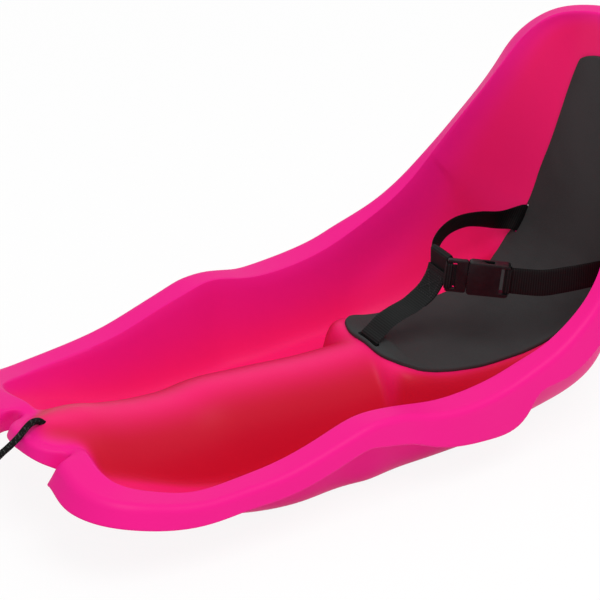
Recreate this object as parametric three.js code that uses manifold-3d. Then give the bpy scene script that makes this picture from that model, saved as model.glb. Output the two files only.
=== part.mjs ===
// A moulded baby pull sled: a thin bucket hull with two ski troughs and a raised tongue between
// them, a foam pad over seat and backrest, a crotch strap, a waist belt with a side release
// buckle, and a pull rope tied through the tongue.
// Millimetres, +Z up, the sled's nose towards -Y, its left side towards +X. Stations along the
// sled are measured from the crotch slot, and the whole group is moved to its frame at the end.
import * as THREE from 'three';
import { mergeVertices } from 'three/addons/utils/BufferGeometryUtils.js';
import Module from 'manifold-3d';

const wasm = await Module();
wasm.setup();

// Clearances, and the width below which a sliver of a face is taken out
const fitGap = 0.4;
const cutOverrun = 4;
const sliver = 0.01;

// Hull
const hullLength = 790;
const halfBeam = 185;
const backHeight = 355;
const slotStation = 49.5;
const wall = 3;
const rimWidth = 30;
const skirtDepth = 45;
const lipRadius = 8;
const seatHeight = 72;

// The rim's inner edge, first round the nose from the tongue's tip, then along the side, then over
// the top of the backrest: across, along and up as shares of half beam, hull length and back
// height, the rim's width and the skirt's depth as shares of theirs, and the flare in degrees.
const noseRimShares = [
  [0.000, -0.523, 0.293, 0.33, 0.27, 20],
  [0.130, -0.520, 0.287, 0.33, 0.27, 20],
  [0.232, -0.510, 0.276, 0.30, 0.24, 18],
  [0.308, -0.495, 0.279, 0.23, 0.20, 10],
  [0.368, -0.495, 0.293, 0.30, 0.22, 12],
  [0.416, -0.504, 0.299, 0.47, 0.29, 30],
  [0.486, -0.513, 0.293, 0.63, 0.38, 40],
  [0.578, -0.506, 0.273, 0.80, 0.44, 36],
  [0.654, -0.485, 0.248, 0.87, 0.49, 30],
];
const sideRimShares = [
  [0.719, -0.449, 0.223, 0.87, 0.51, 22],
  [0.762, -0.392, 0.206, 0.90, 0.47, 14],
  [0.778, -0.334, 0.206, 0.93, 0.44, 10],
  [0.789, -0.272, 0.217, 0.97, 0.49, 8],
  [0.800, -0.209, 0.251, 0.97, 0.49, 8],
  [0.800, -0.158, 0.279, 1.00, 0.49, 8],
  [0.822, -0.120, 0.282, 0.87, 0.62, 8],
  [0.811, -0.076, 0.259, 0.93, 0.67, 8],
  [0.816, -0.032, 0.242, 1.07, 0.82, 6],
  [0.822, 0.019, 0.242, 1.10, 0.98, 4],
  [0.827, 0.063, 0.256, 1.03, 1.00, 4],
  [0.832, 0.095, 0.276, 0.97, 0.60, 6],
  [0.843, 0.133, 0.304, 0.83, 0.69, 8],
  [0.838, 0.171, 0.346, 0.73, 0.76, 8],
  [0.827, 0.203, 0.400, 0.67, 0.67, 8],
  [0.800, 0.230, 0.473, 0.67, 0.60, 8],
  [0.735, 0.257, 0.575, 0.73, 0.56, 8],
  [0.649, 0.284, 0.685, 0.80, 0.56, 8],
  [0.573, 0.310, 0.792, 0.83, 0.56, 8],
  [0.508, 0.337, 0.885, 0.83, 0.56, 8],
];
const backRimShares = [
  [0.411, 0.361, 0.946, 0.83, 0.53, 8],
  [0.281, 0.378, 0.977, 0.80, 0.53, 8],
  [0.141, 0.389, 0.994, 0.80, 0.53, 8],
  [0.000, 0.392, 1.000, 0.80, 0.53, 8],
];

// The backrest rises from the hull floor round a corner, and the hull's cross sections lean
// back with it as a fan.
const backrestStation = 237;
const backrestAngle = THREE.MathUtils.degToRad(77.5);
const backrestRadius = 45;
const fanStart = -20;
const fanLength = 620;
const fanPower = 1.3;

// Ski troughs beside the tongue; their floor is thinned a little, so that they rest flat
const skiThinning = 1.2;
const skiRadius = 310;
const skiAngle = THREE.MathUtils.degToRad(24.5);
const skiStation = -160;

// Tongue between the skis, and seat platform behind it, as [station, height] rows in shares of
// hull length and seat height
const tongueHalf = 65;
const tongueFall = 39.6;
const tongueShoulderFall = 30;
const tongueEnd = 20;
const crestShares = [
  [-0.544, 1.444], [-0.500, 1.514], [-0.443, 1.472], [-0.392, 1.319], [-0.339, 1.208],
  [-0.297, 1.167], [-0.257, 1.194], [-0.186, 1.111], [-0.076, 0.958], [-0.013, 0.917],
];
const seatShares = [
  [-0.051, 0.958], [-0.010, 0.938], [0.025, 0.812], [0.057, 0.681], [0.089, 0.583],
  [0.134, 0.521], [0.190, 0.486], [0.228, 0.431], [0.272, 0.264], [0.332, 0.042],
  [0.380, 0.042],
];
const platformStation = 92;
const platformReach = 106;
const platformRoundness = 3.2;
const platformCrown = 4;
const platformCrownHalf = 75;
const platformShoulder = 24;
const platformShoulderPower = 18;
const platformFadeStart = 200;
const platformFade = 60;
const crownFadeStart = 20;
const crownFade = 100;
// [station, half width] in shares of hull length and half beam
const platformHalfShares = [
  [-0.025, 0.405], [0.076, 0.422], [0.139, 0.427], [0.190, 0.438], [0.234, 0.476],
  [0.291, 0.524], [0.332, 0.557], [0.418, 0.541], [0.506, 0.497], [0.709, 0.378],
];
const tongueBlend = 7;
const troughBlend = 12;
const sunkenDepth = 60;

// Side walls: how far they run out over the floor, in shares of half beam, and how hollow they are
const wallRunShares = [
  [-0.570, 0.141], [-0.481, 0.151], [-0.380, 0.162], [0.127, 0.162], [0.203, 0.195],
  [0.291, 0.281], [0.380, 0.335], [0.506, 0.324], [0.658, 0.259], [0.759, 0.216],
];
const wallHollowShares = [
  [-0.570, 2.0], [-0.380, 3.0], [0.152, 3.0], [0.291, 2.2], [0.418, 1.8], [0.759, 1.6],
];
const wallSoftening = 8;

// Seat pad
const padThickness = 4.5;
const padFrontStation = -8;
const padFrontBow = 14;
const padTopStation = 515;
const padTopBow = 13;
const padSink = 1;
const padEdgeShare = 0.3;
// [share of the pad's length, share of half beam]
const padHalfShares = [
  [0.000, 0.280], [0.010, 0.318], [0.026, 0.343], [0.060, 0.364], [0.130, 0.373],
  [0.300, 0.392], [0.420, 0.450], [0.520, 0.515], [0.600, 0.535], [0.680, 0.515],
  [0.800, 0.432], [0.900, 0.363], [0.960, 0.318], [0.985, 0.285], [1.000, 0.225],
];

// Webbing and its slots
const webbingWidth = 30;
const webbing = 1.6;
const slotLength = 34;
const slotWidth = 5;
const waistSlotInset = 8.7;
const waistSlotSection = 314.75;
const waistSlotBehind = 9.7;
const waistSlotTilt = THREE.MathUtils.degToRad(57);

// Crotch strap, in the centre plane
const loopStation = 91;
const loopHeight = 132;
const loopHollow = 33;
const loopGap = 5.5;
const stemRise = 16;
const keeperLength = 48;
const keeperBar = 5;
const keeperEnd = 7;

// Side release buckle: its middle, and the direction from plug to socket
const buckleAcross = 38;
const buckleStation = 110;
const buckleHeight = 129;
const buckleLength = 66;
const buckleWidth = 38;
const buckleDepth = 10;
const buckleWall = 2.2;
const buckleHeading = THREE.MathUtils.degToRad(55);
const buckleFall = THREE.MathUtils.degToRad(6);
const buckleBar = 4;
const buckleSlot = 6;
const socketLength = 44;
const plugDepth = 4.6;
const guideWidth = 9;
const armWidth = 4.2;
const armReach = 23;
const barbHeight = 2.4;
const barbLength = 9;
const windowLength = 13;
const cornerRadius = 4;

// Pull rope
const ropeDiameter = 7;
const ropeSides = 8;
const ropeHoleClearance = 1.6;
const knotDiameter = 14;
const knotLength = 11;
const coilMiddleRadius = 38.5;
const coilPitch = 7.6;
const coilTurns = 2;
const coilSides = 6;
const coilStepsPerTurn = 24;

const rad = Math.PI / 180;
const axisX = new THREE.Vector3(1, 0, 0);
const axisY = new THREE.Vector3(0, 1, 0);
const axisZ = new THREE.Vector3(0, 0, 1);

// Small maths

const clamp = THREE.MathUtils.clamp;
const smooth = (value) => THREE.MathUtils.smoothstep(value, 0, 1);

// The larger of two heights, with a fillet where they cross.
function blendedMax(a, b, blend) {
  return (a + b + Math.hypot(a - b, blend)) / 2;
}

// A curve through the rows of a table that never overshoots them.
function tableCurve(rows, stationScale, valueScale) {
  const xs = rows.map((row) => row[0] * stationScale);
  const ys = rows.map((row) => row[1] * valueScale);
  const last = xs.length - 1;
  const slopes = [];
  for (let i = 0; i < last; i += 1) {
    slopes.push((ys[i + 1] - ys[i]) / (xs[i + 1] - xs[i]));
  }
  const tangents = [slopes[0]];
  for (let i = 1; i < last; i += 1) {
    const before = slopes[i - 1];
    const after = slopes[i];
    tangents.push(before * after <= 0 ? 0 : (2 * before * after) / (before + after));
  }
  tangents.push(slopes[last - 1]);
  return (at) => {
    const x = clamp(at, xs[0], xs[last]);
    let i = 0;
    while (i < last - 1 && x > xs[i + 1]) {
      i += 1;
    }
    const step = xs[i + 1] - xs[i];
    const t = (x - xs[i]) / step;
    const rise = t * t * (3 - 2 * t);
    const from = t * (1 - t) * (1 - t) * step * tangents[i];
    const to = t * t * (t - 1) * step * tangents[i + 1];
    return ys[i] * (1 - rise) + ys[i + 1] * rise + from + to;
  };
}

// A natural cubic spline through values at rising parameters.
function naturalSpline(params, values) {
  const last = params.length - 1;
  const steps = [];
  for (let i = 0; i < last; i += 1) {
    steps.push(params[i + 1] - params[i]);
  }
  const bends = new Array(last + 1).fill(0);
  const factors = new Array(last + 1).fill(0);
  for (let i = 1; i < last; i += 1) {
    const pivot = 2 * (steps[i - 1] + steps[i]) - steps[i - 1] * factors[i - 1];
    const change = (values[i + 1] - values[i]) / steps[i] - (values[i] - values[i - 1]) / steps[i - 1];
    factors[i] = steps[i] / pivot;
    bends[i] = (6 * change - steps[i - 1] * bends[i - 1]) / pivot;
  }
  for (let i = last - 1; i > 0; i -= 1) {
    bends[i] -= factors[i] * bends[i + 1];
  }
  return (segment, share) => {
    const step = steps[segment];
    const a = 1 - share;
    const b = share;
    const curve = ((a * a * a - a) * bends[segment] + (b * b * b - b) * bends[segment + 1]) / 6;
    return a * values[segment] + b * values[segment + 1] + curve * step * step;
  };
}

// Hull form

const crest = tableCurve(crestShares, hullLength, seatHeight);
const seat = tableCurve(seatShares, hullLength, seatHeight);
const platformHalf = tableCurve(platformHalfShares, hullLength, halfBeam);
const wallRun = tableCurve(wallRunShares, hullLength, halfBeam);
const wallHollow = tableCurve(wallHollowShares, hullLength, 1);

const cornerTangent = backrestRadius * Math.tan(backrestAngle / 2);
const cornerStart = backrestStation - cornerTangent;
const cornerArc = backrestRadius * backrestAngle;

// The line that the cross sections stand on: along the floor, round the corner, up the backrest.
function spine(station) {
  const turn = clamp((station - cornerStart) / backrestRadius, 0, backrestAngle);
  const beyond = Math.max(station - cornerStart - cornerArc, 0);
  const flat = Math.min(station, cornerStart);
  return [
    flat + backrestRadius * Math.sin(turn) + beyond * Math.cos(backrestAngle),
    backrestRadius * (1 - Math.cos(turn)) + beyond * Math.sin(backrestAngle),
  ];
}

function lean(station) {
  return backrestAngle * clamp((station - fanStart) / fanLength, 0, 1) ** fanPower;
}

// A point of the hull from its place across, its station and its height in the leaning section.
function place(across, station, height) {
  const [along, up] = spine(station);
  const tilt = lean(station);
  return new THREE.Vector3(across, along - Math.sin(tilt) * height, up + Math.cos(tilt) * height);
}

// The station and section height of a point in the side view.
function sectionOf(along, up) {
  let low = -hullLength;
  let high = hullLength;
  const halvings = 50;
  for (let i = 0; i < halvings; i += 1) {
    const middle = (low + high) / 2;
    const [y, z] = spine(middle);
    const tilt = lean(middle);
    if ((along - y) * Math.cos(tilt) + (up - z) * Math.sin(tilt) > 0) {
      low = middle;
    } else {
      high = middle;
    }
  }
  const [y, z] = spine(low);
  const tilt = lean(low);
  return [low, (up - z) * Math.cos(tilt) - (along - y) * Math.sin(tilt)];
}

function trough(station) {
  const level = wall - skiThinning;
  const ahead = Math.max(skiStation - station, 0);
  const arcReach = skiRadius * Math.sin(skiAngle);
  if (ahead < arcReach) {
    return level + skiRadius - Math.sqrt(skiRadius * skiRadius - ahead * ahead);
  }
  const arcRise = skiRadius * (1 - Math.cos(skiAngle));
  return level + arcRise + (ahead - arcReach) * Math.tan(skiAngle);
}

function tongue(across, station) {
  if (station > tongueEnd) {
    return -sunkenDepth;
  }
  const share = Math.abs(across) / tongueHalf;
  return crest(station) - tongueFall * share ** 2 - tongueShoulderFall * share ** 8;
}

function platform(across, station) {
  const ahead = Math.max(platformStation - station, 0) / platformReach;
  const side = Math.abs(across) / platformHalf(station);
  const edge = (side ** platformRoundness + ahead ** platformRoundness) ** (1 / platformRoundness);
  const widest = 1.6;
  const shoulder = platformShoulder * Math.min(edge, widest) ** platformShoulderPower;
  const shoulderFade = 1 - smooth((station - platformFadeStart) / platformFade);
  const crown = platformCrown * (across / platformCrownHalf) ** 2;
  const crownShare = smooth(1 - (station - crownFadeStart) / crownFade);
  return seat(station) - crown * crownShare - shoulder * shoulderFade;
}

// The height of the hull's floor: tongue and platform standing in the troughs.
function floorHeight(across, station) {
  const raised = Math.max(tongue(across, station), -sunkenDepth);
  const seatBlock = Math.max(platform(across, station), -sunkenDepth);
  const middle = blendedMax(raised, seatBlock, tongueBlend);
  return blendedMax(middle, trough(station), troughBlend);
}

// The rim as a fine list of places, each with its section place, widths and directions.
function rimLine() {
  const stepsPerRow = 10;
  const rows = [...noseRimShares, ...sideRimShares, ...backRimShares].map((row) => [
    row[0] * halfBeam,
    row[1] * hullLength,
    row[2] * backHeight,
    row[3] * rimWidth,
    row[4] * skirtDepth,
    row[5] * rad,
  ]);
  const params = [0];
  for (let i = 1; i < rows.length; i += 1) {
    const [x, y, z] = rows[i];
    const [px, py, pz] = rows[i - 1];
    params.push(params[i - 1] + Math.sqrt(Math.hypot(x - px, y - py, z - pz)));
  }
  const splines = rows[0].map((_, column) => naturalSpline(params, rows.map((row) => row[column])));
  const line = [];
  for (let i = 0; i < rows.length - 1; i += 1) {
    for (let step = 0; step < stepsPerRow; step += 1) {
      line.push(splines.map((spline) => spline(i, step / stepsPerRow)));
    }
  }
  line.push(rows[rows.length - 1]);
  const points = line.map((row) => {
    const [station, height] = sectionOf(row[1], row[2]);
    return {
      at: new THREE.Vector3(row[0], row[1], row[2]),
      station,
      height,
      width: row[3],
      depth: row[4],
      flare: row[5],
    };
  });
  points.forEach((point, i) => {
    const before = points[Math.max(i - 1, 0)].at;
    const after = points[Math.min(i + 1, points.length - 1)].at;
    const along = after.clone().sub(before).normalize();
    const out = new THREE.Vector3(along.y, -along.x, 0).normalize();
    if (i === 0) {
      out.set(0, -1, 0);
    }
    if (i === points.length - 1) {
      out.set(0, 1, 0);
    }
    const down = axisZ.clone().negate();
    down.addScaledVector(along, -down.dot(along)).normalize();
    point.out = out;
    point.down = down;
  });
  const noseRows = noseRimShares.length - 1;
  const sideRows = sideRimShares.length;
  return { points, noseAt: noseRows * stepsPerRow, backAt: (noseRows + sideRows) * stepsPerRow };
}

const rim = rimLine();

// The nearest place on the rim in the developed plan of place across and station.
function nearestRim(across, station) {
  let best = Infinity;
  let bestAt = 0;
  let weightSum = 0;
  let heightSum = 0;
  const softener = 4;
  for (let i = 0; i < rim.points.length - 1; i += 1) {
    const a = rim.points[i];
    const b = rim.points[i + 1];
    const dx = b.at.x - a.at.x;
    const ds = b.station - a.station;
    const length2 = dx * dx + ds * ds;
    const t = clamp(((across - a.at.x) * dx + (station - a.station) * ds) / length2, 0, 1);
    const distance2 = (across - a.at.x - t * dx) ** 2 + (station - a.station - t * ds) ** 2;
    const weight = 1 / (distance2 + softener) ** 2;
    weightSum += weight;
    heightSum += (weight * (a.height + b.height)) / 2;
    if (distance2 < best) {
      best = distance2;
      bestAt = i + t;
    }
  }
  const i = Math.min(Math.floor(bestAt), rim.points.length - 2);
  const share = bestAt - i;
  const close = rim.points[i].height * (1 - share) + rim.points[i + 1].height * share;
  const distance = Math.sqrt(best);
  const mix = clamp(distance / wallSoftening, 0, 1);
  return { at: bestAt, distance, height: close * (1 - mix) + (heightSum / weightSum) * mix };
}

// The section height of the hull's inner skin at a place across and a station.
function skinHeight(across, station) {
  const near = nearestRim(Math.abs(across), station);
  const floor = floorHeight(across, station);
  const climb = clamp(1 - near.distance / wallRun(station), 0, 1) ** wallHollow(station);
  return { height: floor + (near.height - floor) * climb, at: near.at };
}

function skinPoint(across, station) {
  return place(across, station, skinHeight(across, station).height);
}

// The direction square to the inner skin, pointing into the sled.
function skinNormal(across, station) {
  const sideways = skinPoint(across + wall, station).sub(skinPoint(across - wall, station));
  const forwards = skinPoint(across, station + wall).sub(skinPoint(across, station - wall));
  return sideways.cross(forwards).normalize();
}

// Values from 0 to 1 that crowd together where the form turns tightly.
function crowded(count, crowds) {
  const fine = 1000;
  const sums = [0];
  for (let i = 1; i <= fine; i += 1) {
    const at = (i - 1 / 2) / fine;
    const density = crowds.reduce(
      (sum, [centre, spread, weight]) => sum + weight * Math.exp(-(((at - centre) / spread) ** 2)),
      1,
    );
    sums.push(sums[i - 1] + density);
  }
  const values = [];
  let i = 0;
  for (let k = 0; k < count; k += 1) {
    const target = (sums[fine] * k) / (count - 1);
    while (i < fine - 1 && sums[i + 1] < target) {
      i += 1;
    }
    values.push((i + (target - sums[i]) / (sums[i + 1] - sums[i])) / fine);
  }
  values[count - 1] = 1;
  return values;
}

const rowCrowds = [[0, 0.03, 1.6], [0.41, 0.035, 2.4], [0.66, 0.06, 0.8], [1, 0.04, 0.8]];
const columnCrowds = [[0.44, 0.09, 1.6], [1, 0.12, 1.2]];
const hullRows = 50;
const hullColumns = 14;

// A run of the rim as [across, station], spaced by the shares given.
function rimRun(from, to, shares) {
  const step = Math.sign(to - from);
  const run = [];
  for (let i = from; i !== to + step; i += step) {
    run.push([rim.points[i].at.x, rim.points[i].station]);
  }
  const lengths = [0];
  for (let i = 1; i < run.length; i += 1) {
    lengths.push(lengths[i - 1] + Math.hypot(run[i][0] - run[i - 1][0], run[i][1] - run[i - 1][1]));
  }
  const total = lengths[lengths.length - 1];
  let i = 0;
  return shares.map((share) => {
    while (i < lengths.length - 2 && lengths[i + 1] < share * total) {
      i += 1;
    }
    const t = clamp((share * total - lengths[i]) / (lengths[i + 1] - lengths[i]), 0, 1);
    return [
      run[i][0] * (1 - t) + run[i + 1][0] * t,
      run[i][1] * (1 - t) + run[i + 1][1] * t,
    ];
  });
}

// The half hull's lattice, from the centre plane to the rim and from the nose to the backrest.
function hullLattice() {
  const rows = crowded(hullRows, rowCrowds);
  const columns = crowded(hullColumns, columnCrowds);
  const side = rimRun(rim.noseAt, rim.backAt, rows);
  const nose = rimRun(0, rim.noseAt, columns);
  const top = rimRun(rim.points.length - 1, rim.backAt, columns);
  const noseEnd = nose[nose.length - 1];
  const topEnd = top[top.length - 1];
  return rows.map((u, i) => columns.map((v, j) => {
    const noseFade = (1 - u) ** 3;
    const topFade = u ** 3;
    const centre = nose[0][1] + (top[0][1] - nose[0][1]) * u;
    const across = v * side[i][0]
      + noseFade * (nose[j][0] - v * noseEnd[0])
      + topFade * topFade * (top[j][0] - v * topEnd[0]);
    const station = (1 - v) * centre + v * side[i][1]
      + noseFade * (nose[j][1] - (1 - v) * nose[0][1] - v * noseEnd[1])
      + topFade * (top[j][1] - (1 - v) * top[0][1] - v * topEnd[1]);
    const { height, at } = skinHeight(across, station);
    return { point: place(across, station, height), at };
  }));
}

// The rim's profile outwards from a boundary node: over the flat, round the lip, down the skirt.
function rimProfile(start, at) {
  const i = Math.min(Math.floor(at), rim.points.length - 2);
  const share = at - i;
  const a = rim.points[i];
  const b = rim.points[i + 1];
  const mix = (key) => a[key] * (1 - share) + b[key] * share;
  const out = a.out.clone().lerp(b.out, share).normalize();
  const down = a.down.clone().lerp(b.down, share).normalize();
  const width = mix('width');
  const depth = mix('depth');
  const flare = mix('flare');
  const fall = down.multiplyScalar(Math.cos(flare)).addScaledVector(out, Math.sin(flare));
  const widthShare = 0.45;
  const depthShare = 0.6;
  const radius = Math.min(lipRadius, widthShare * width, depthShare * depth);
  const corner = start.clone().addScaledVector(out, width);
  const flatEnd = corner.clone().addScaledVector(out, -radius);
  const skirtStart = corner.clone().addScaledVector(fall, radius);
  const lip = new THREE.QuadraticBezierCurve3(flatEnd, corner, skirtStart);
  const lipSteps = 3;
  return [...lip.getPoints(lipSteps), corner.addScaledVector(fall, depth)];
}

// The whole skin: the mirrored lattice, and outside it the rings of the rim.
function hullSkin() {
  const half = hullLattice();
  const columns = 2 * hullColumns - 1;
  const points = [];
  const faces = [];
  const mirrored = (point) => new THREE.Vector3(-point.x, point.y, point.z);
  half.forEach((row) => {
    for (let j = hullColumns - 1; j > 0; j -= 1) {
      points.push(mirrored(row[j].point));
    }
    row.forEach((node, j) => {
      points.push(j === 0 ? new THREE.Vector3(0, node.point.y, node.point.z) : node.point);
    });
  });
  const index = (row, column) => row * columns + column;
  for (let i = 0; i < hullRows - 1; i += 1) {
    for (let j = 0; j < columns - 1; j += 1) {
      faces.push([index(i, j), index(i, j + 1), index(i + 1, j + 1)]);
      faces.push([index(i, j), index(i + 1, j + 1), index(i + 1, j)]);
    }
  }
  const middle = hullColumns - 1;
  const boundary = [];
  const add = (row, column) => {
    const offset = column - middle;
    const node = half[row][Math.abs(offset)];
    const chain = rimProfile(node.point, node.at);
    if (offset === 0) {
      chain.forEach((point) => point.setX(0));
    }
    boundary.push({
      inner: index(row, column),
      chain: offset < 0 ? chain.map(mirrored) : chain,
    });
  };
  for (let j = 0; j < columns - 1; j += 1) {
    add(0, j);
  }
  for (let i = 0; i < hullRows - 1; i += 1) {
    add(i, columns - 1);
  }
  for (let j = columns - 1; j > 0; j -= 1) {
    add(hullRows - 1, j);
  }
  for (let i = hullRows - 1; i > 0; i -= 1) {
    add(i, 0);
  }
  let inner = boundary.map((node) => node.inner);
  const rings = boundary[0].chain.length;
  for (let ring = 0; ring < rings; ring += 1) {
    const outer = boundary.map((node) => points.push(node.chain[ring]) - 1);
    for (let i = 0; i < outer.length; i += 1) {
      const next = (i + 1) % outer.length;
      faces.push([inner[i], outer[i], outer[next]]);
      faces.push([inner[i], outer[next], inner[next]]);
    }
    inner = outer;
  }
  return { points, faces, hem: inner };
}

// Mitred normals at a skin's points, long enough that an offset by one keeps the wall even.
function mitredNormals(points, faces) {
  const sums = points.map(() => new THREE.Vector3());
  const faceNormals = faces.map(([a, b, c]) => {
    const side = points[b].clone().sub(points[a]);
    return side.cross(points[c].clone().sub(points[a]));
  });
  faces.forEach((face, i) => face.forEach((corner) => sums[corner].add(faceNormals[i])));
  sums.forEach((sum) => sum.normalize());
  const least = points.map(() => 1);
  faces.forEach((face, i) => {
    const unit = faceNormals[i].clone().normalize();
    face.forEach((corner) => {
      least[corner] = Math.min(least[corner], unit.dot(sums[corner]));
    });
  });
  const steepest = 0.7;
  return sums.map((sum, i) => sum.divideScalar(Math.max(least[i], steepest)));
}

// A closed shell between two offsets of a skin.
function thickened(skin, above, below) {
  const normals = mitredNormals(skin.points, skin.faces);
  const count = skin.points.length;
  const vertices = [];
  [above, -below].forEach((offset) => {
    skin.points.forEach((point, i) => {
      const vertex = point.clone().addScaledVector(normals[i], offset);
      vertices.push(vertex.setZ(Math.max(vertex.z, 0)));
    });
  });
  const faces = [...skin.faces, ...skin.faces.map(([a, b, c]) => [a + count, c + count, b + count])];
  skin.hem.forEach((at, i) => {
    const next = skin.hem[(i + 1) % skin.hem.length];
    faces.push([at, at + count, next + count]);
    faces.push([at, next + count, next]);
  });
  return geometryFrom(vertices, faces);
}

// Meshes and solids

function geometryFrom(vertices, faces) {
  const geometry = new THREE.BufferGeometry();
  const positions = new Float32Array(vertices.flatMap((vertex) => vertex.toArray()));
  geometry.setAttribute('position', new THREE.BufferAttribute(positions, 3));
  geometry.setIndex(faces.flat());
  return geometry;
}

function solidFrom(geometry) {
  const bare = geometry.clone();
  bare.deleteAttribute('normal');
  bare.deleteAttribute('uv');
  const merged = mergeVertices(bare);
  return new wasm.Manifold(new wasm.Mesh({
    numProp: 3,
    vertProperties: merged.attributes.position.array,
    triVerts: new Uint32Array(merged.index.array),
  }));
}

function geometryOf(solid) {
  const mesh = solid.simplify(sliver).getMesh();
  const geometry = new THREE.BufferGeometry();
  geometry.setAttribute('position', new THREE.BufferAttribute(mesh.vertProperties, mesh.numProp));
  geometry.setIndex(new THREE.BufferAttribute(mesh.triVerts, 1));
  const split = geometry.toNonIndexed();
  split.computeVertexNormals();
  return split;
}

function joined(first, ...others) {
  return others.reduce((sum, other) => sum.add(other), first);
}

function cut(body, ...tools) {
  return tools.reduce((rest, tool) => rest.subtract(tool), body);
}

// A box as a solid, by its middle and size, turned by a matrix if one is given.
function boxSolid(centre, size, turn) {
  const geometry = new THREE.BoxGeometry(size.x, size.y, size.z);
  if (turn) {
    geometry.applyMatrix4(turn);
  }
  geometry.translate(centre.x, centre.y, centre.z);
  return solidFrom(geometry);
}

// An outline in a plane, thickened evenly about it: right and up are the outline's axes.
function plateSolid(shape, depth, right, up, origin) {
  const curveSegments = 6;
  const geometry = new THREE.ExtrudeGeometry(shape, { depth, bevelEnabled: false, curveSegments });
  geometry.translate(0, 0, -depth / 2);
  const normal = right.clone().cross(up);
  geometry.applyMatrix4(new THREE.Matrix4().makeBasis(right, up, normal));
  geometry.translate(origin.x, origin.y, origin.z);
  return solidFrom(geometry);
}

function roundedBox(left, bottom, right, top, radius) {
  const shape = new THREE.Shape();
  shape.moveTo(left + radius, bottom);
  shape.lineTo(right - radius, bottom);
  shape.absarc(right - radius, bottom + radius, radius, -Math.PI / 2, 0);
  shape.lineTo(right, top - radius);
  shape.absarc(right - radius, top - radius, radius, 0, Math.PI / 2);
  shape.lineTo(left + radius, top);
  shape.absarc(left + radius, top - radius, radius, Math.PI / 2, Math.PI);
  shape.lineTo(left, bottom + radius);
  shape.absarc(left + radius, bottom + radius, radius, Math.PI, (3 * Math.PI) / 2);
  return shape;
}

// Flat webbing along two edge lines, with its own thickness at each end.
function ribbonGeometry(topEdge, bottomEdge, startThickness, endThickness, steps) {
  const top = new THREE.CatmullRomCurve3(topEdge, false, 'centripetal');
  const bottom = new THREE.CatmullRomCurve3(bottomEdge, false, 'centripetal');
  const pairs = [];
  for (let i = 0; i <= steps; i += 1) {
    pairs.push([top.getPoint(i / steps), bottom.getPoint(i / steps)]);
  }
  const middles = pairs.map(([a, b]) => a.clone().add(b).divideScalar(2));
  const vertices = [];
  pairs.forEach(([a, b], i) => {
    const along = middles[Math.min(i + 1, steps)].clone().sub(middles[Math.max(i - 1, 0)]);
    const normal = along.cross(a.clone().sub(b)).normalize();
    const thickness = startThickness + ((endThickness - startThickness) * i) / steps;
    [[a, 1], [b, 1], [b, -1], [a, -1]].forEach(([edge, side]) => {
      vertices.push(edge.clone().addScaledVector(normal, (side * thickness) / 2));
    });
  });
  const faces = [[0, 2, 1], [0, 3, 2]];
  for (let i = 0; i < steps; i += 1) {
    for (let k = 0; k < 4; k += 1) {
      const a = 4 * i + k;
      const b = 4 * i + ((k + 1) % 4);
      faces.push([a, b, b + 4]);
      faces.push([a, b + 4, a + 4]);
    }
  }
  const end = 4 * steps;
  faces.push([end, end + 1, end + 2]);
  faces.push([end, end + 2, end + 3]);
  return geometryFrom(vertices, faces);
}

// A tube along a curve, its rings turned with it and both ends closed.
function tubeGeometry(points, radius, sides) {
  const vertices = [];
  const faces = [];
  const tangents = points.map((_, i) => {
    const before = points[Math.max(i - 1, 0)];
    const after = points[Math.min(i + 1, points.length - 1)];
    return after.clone().sub(before).normalize();
  });
  let across = axisX.clone();
  if (Math.abs(tangents[0].dot(across)) > Math.SQRT1_2) {
    across = axisZ.clone();
  }
  points.forEach((point, i) => {
    across.addScaledVector(tangents[i], -across.dot(tangents[i])).normalize();
    const up = tangents[i].clone().cross(across);
    for (let k = 0; k < sides; k += 1) {
      const angle = ((k + 1 / 2) * 2 * Math.PI) / sides;
      vertices.push(point.clone()
        .addScaledVector(across, radius * Math.cos(angle))
        .addScaledVector(up, radius * Math.sin(angle)));
    }
  });
  const start = vertices.push(points[0].clone()) - 1;
  const end = vertices.push(points[points.length - 1].clone()) - 1;
  for (let k = 0; k < sides; k += 1) {
    const next = (k + 1) % sides;
    faces.push([start, next, k]);
    for (let i = 0; i < points.length - 1; i += 1) {
      const ring = i * sides;
      faces.push([ring + k, ring + next, ring + sides + next]);
      faces.push([ring + k, ring + sides + next, ring + sides + k]);
    }
    const lastRing = (points.length - 1) * sides;
    faces.push([end, lastRing + k, lastRing + next]);
  }
  return geometryFrom(vertices, faces);
}

// Pieces

const skin = hullSkin();

function slotSolid(centre, across, along, through) {
  const turn = new THREE.Matrix4().makeBasis(across, along, across.clone().cross(along));
  return boxSolid(centre, new THREE.Vector3(slotLength, slotWidth, through), turn);
}

const crotchSlotCentre = place(0, 0, seat(0));
const slotThrough = 2 * (wall + padThickness + cutOverrun);

// The waist slots lie inside the pad's edge, and the belt turns in them behind the hull's skin.
const padLength = padTopStation - padFrontStation;
const padHalf = tableCurve(padHalfShares, 1, halfBeam);
const waistSlotAcross = padHalf((waistSlotSection - padFrontStation) / padLength) - waistSlotInset;
const slotUp = new THREE.Vector3(0, Math.cos(waistSlotTilt), Math.sin(waistSlotTilt));
const slotBack = slotUp.clone().cross(axisX);
const slotMiddle = skinPoint(waistSlotAcross, waistSlotSection).addScaledVector(slotBack, waistSlotBehind);

// The turn of the belt in a waist slot, on side 1 (left) or -1 (right).
function slotTurn(side) {
  return new THREE.Vector3(side * slotMiddle.x, slotMiddle.y, slotMiddle.z);
}

function crotchSlot() {
  return slotSolid(crotchSlotCentre, axisX, axisY, slotThrough);
}

// A waist slot, long way up the backrest.
function waistSlot(side) {
  return slotSolid(slotTurn(side), slotUp, axisX, 4 * slotThrough);
}

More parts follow.
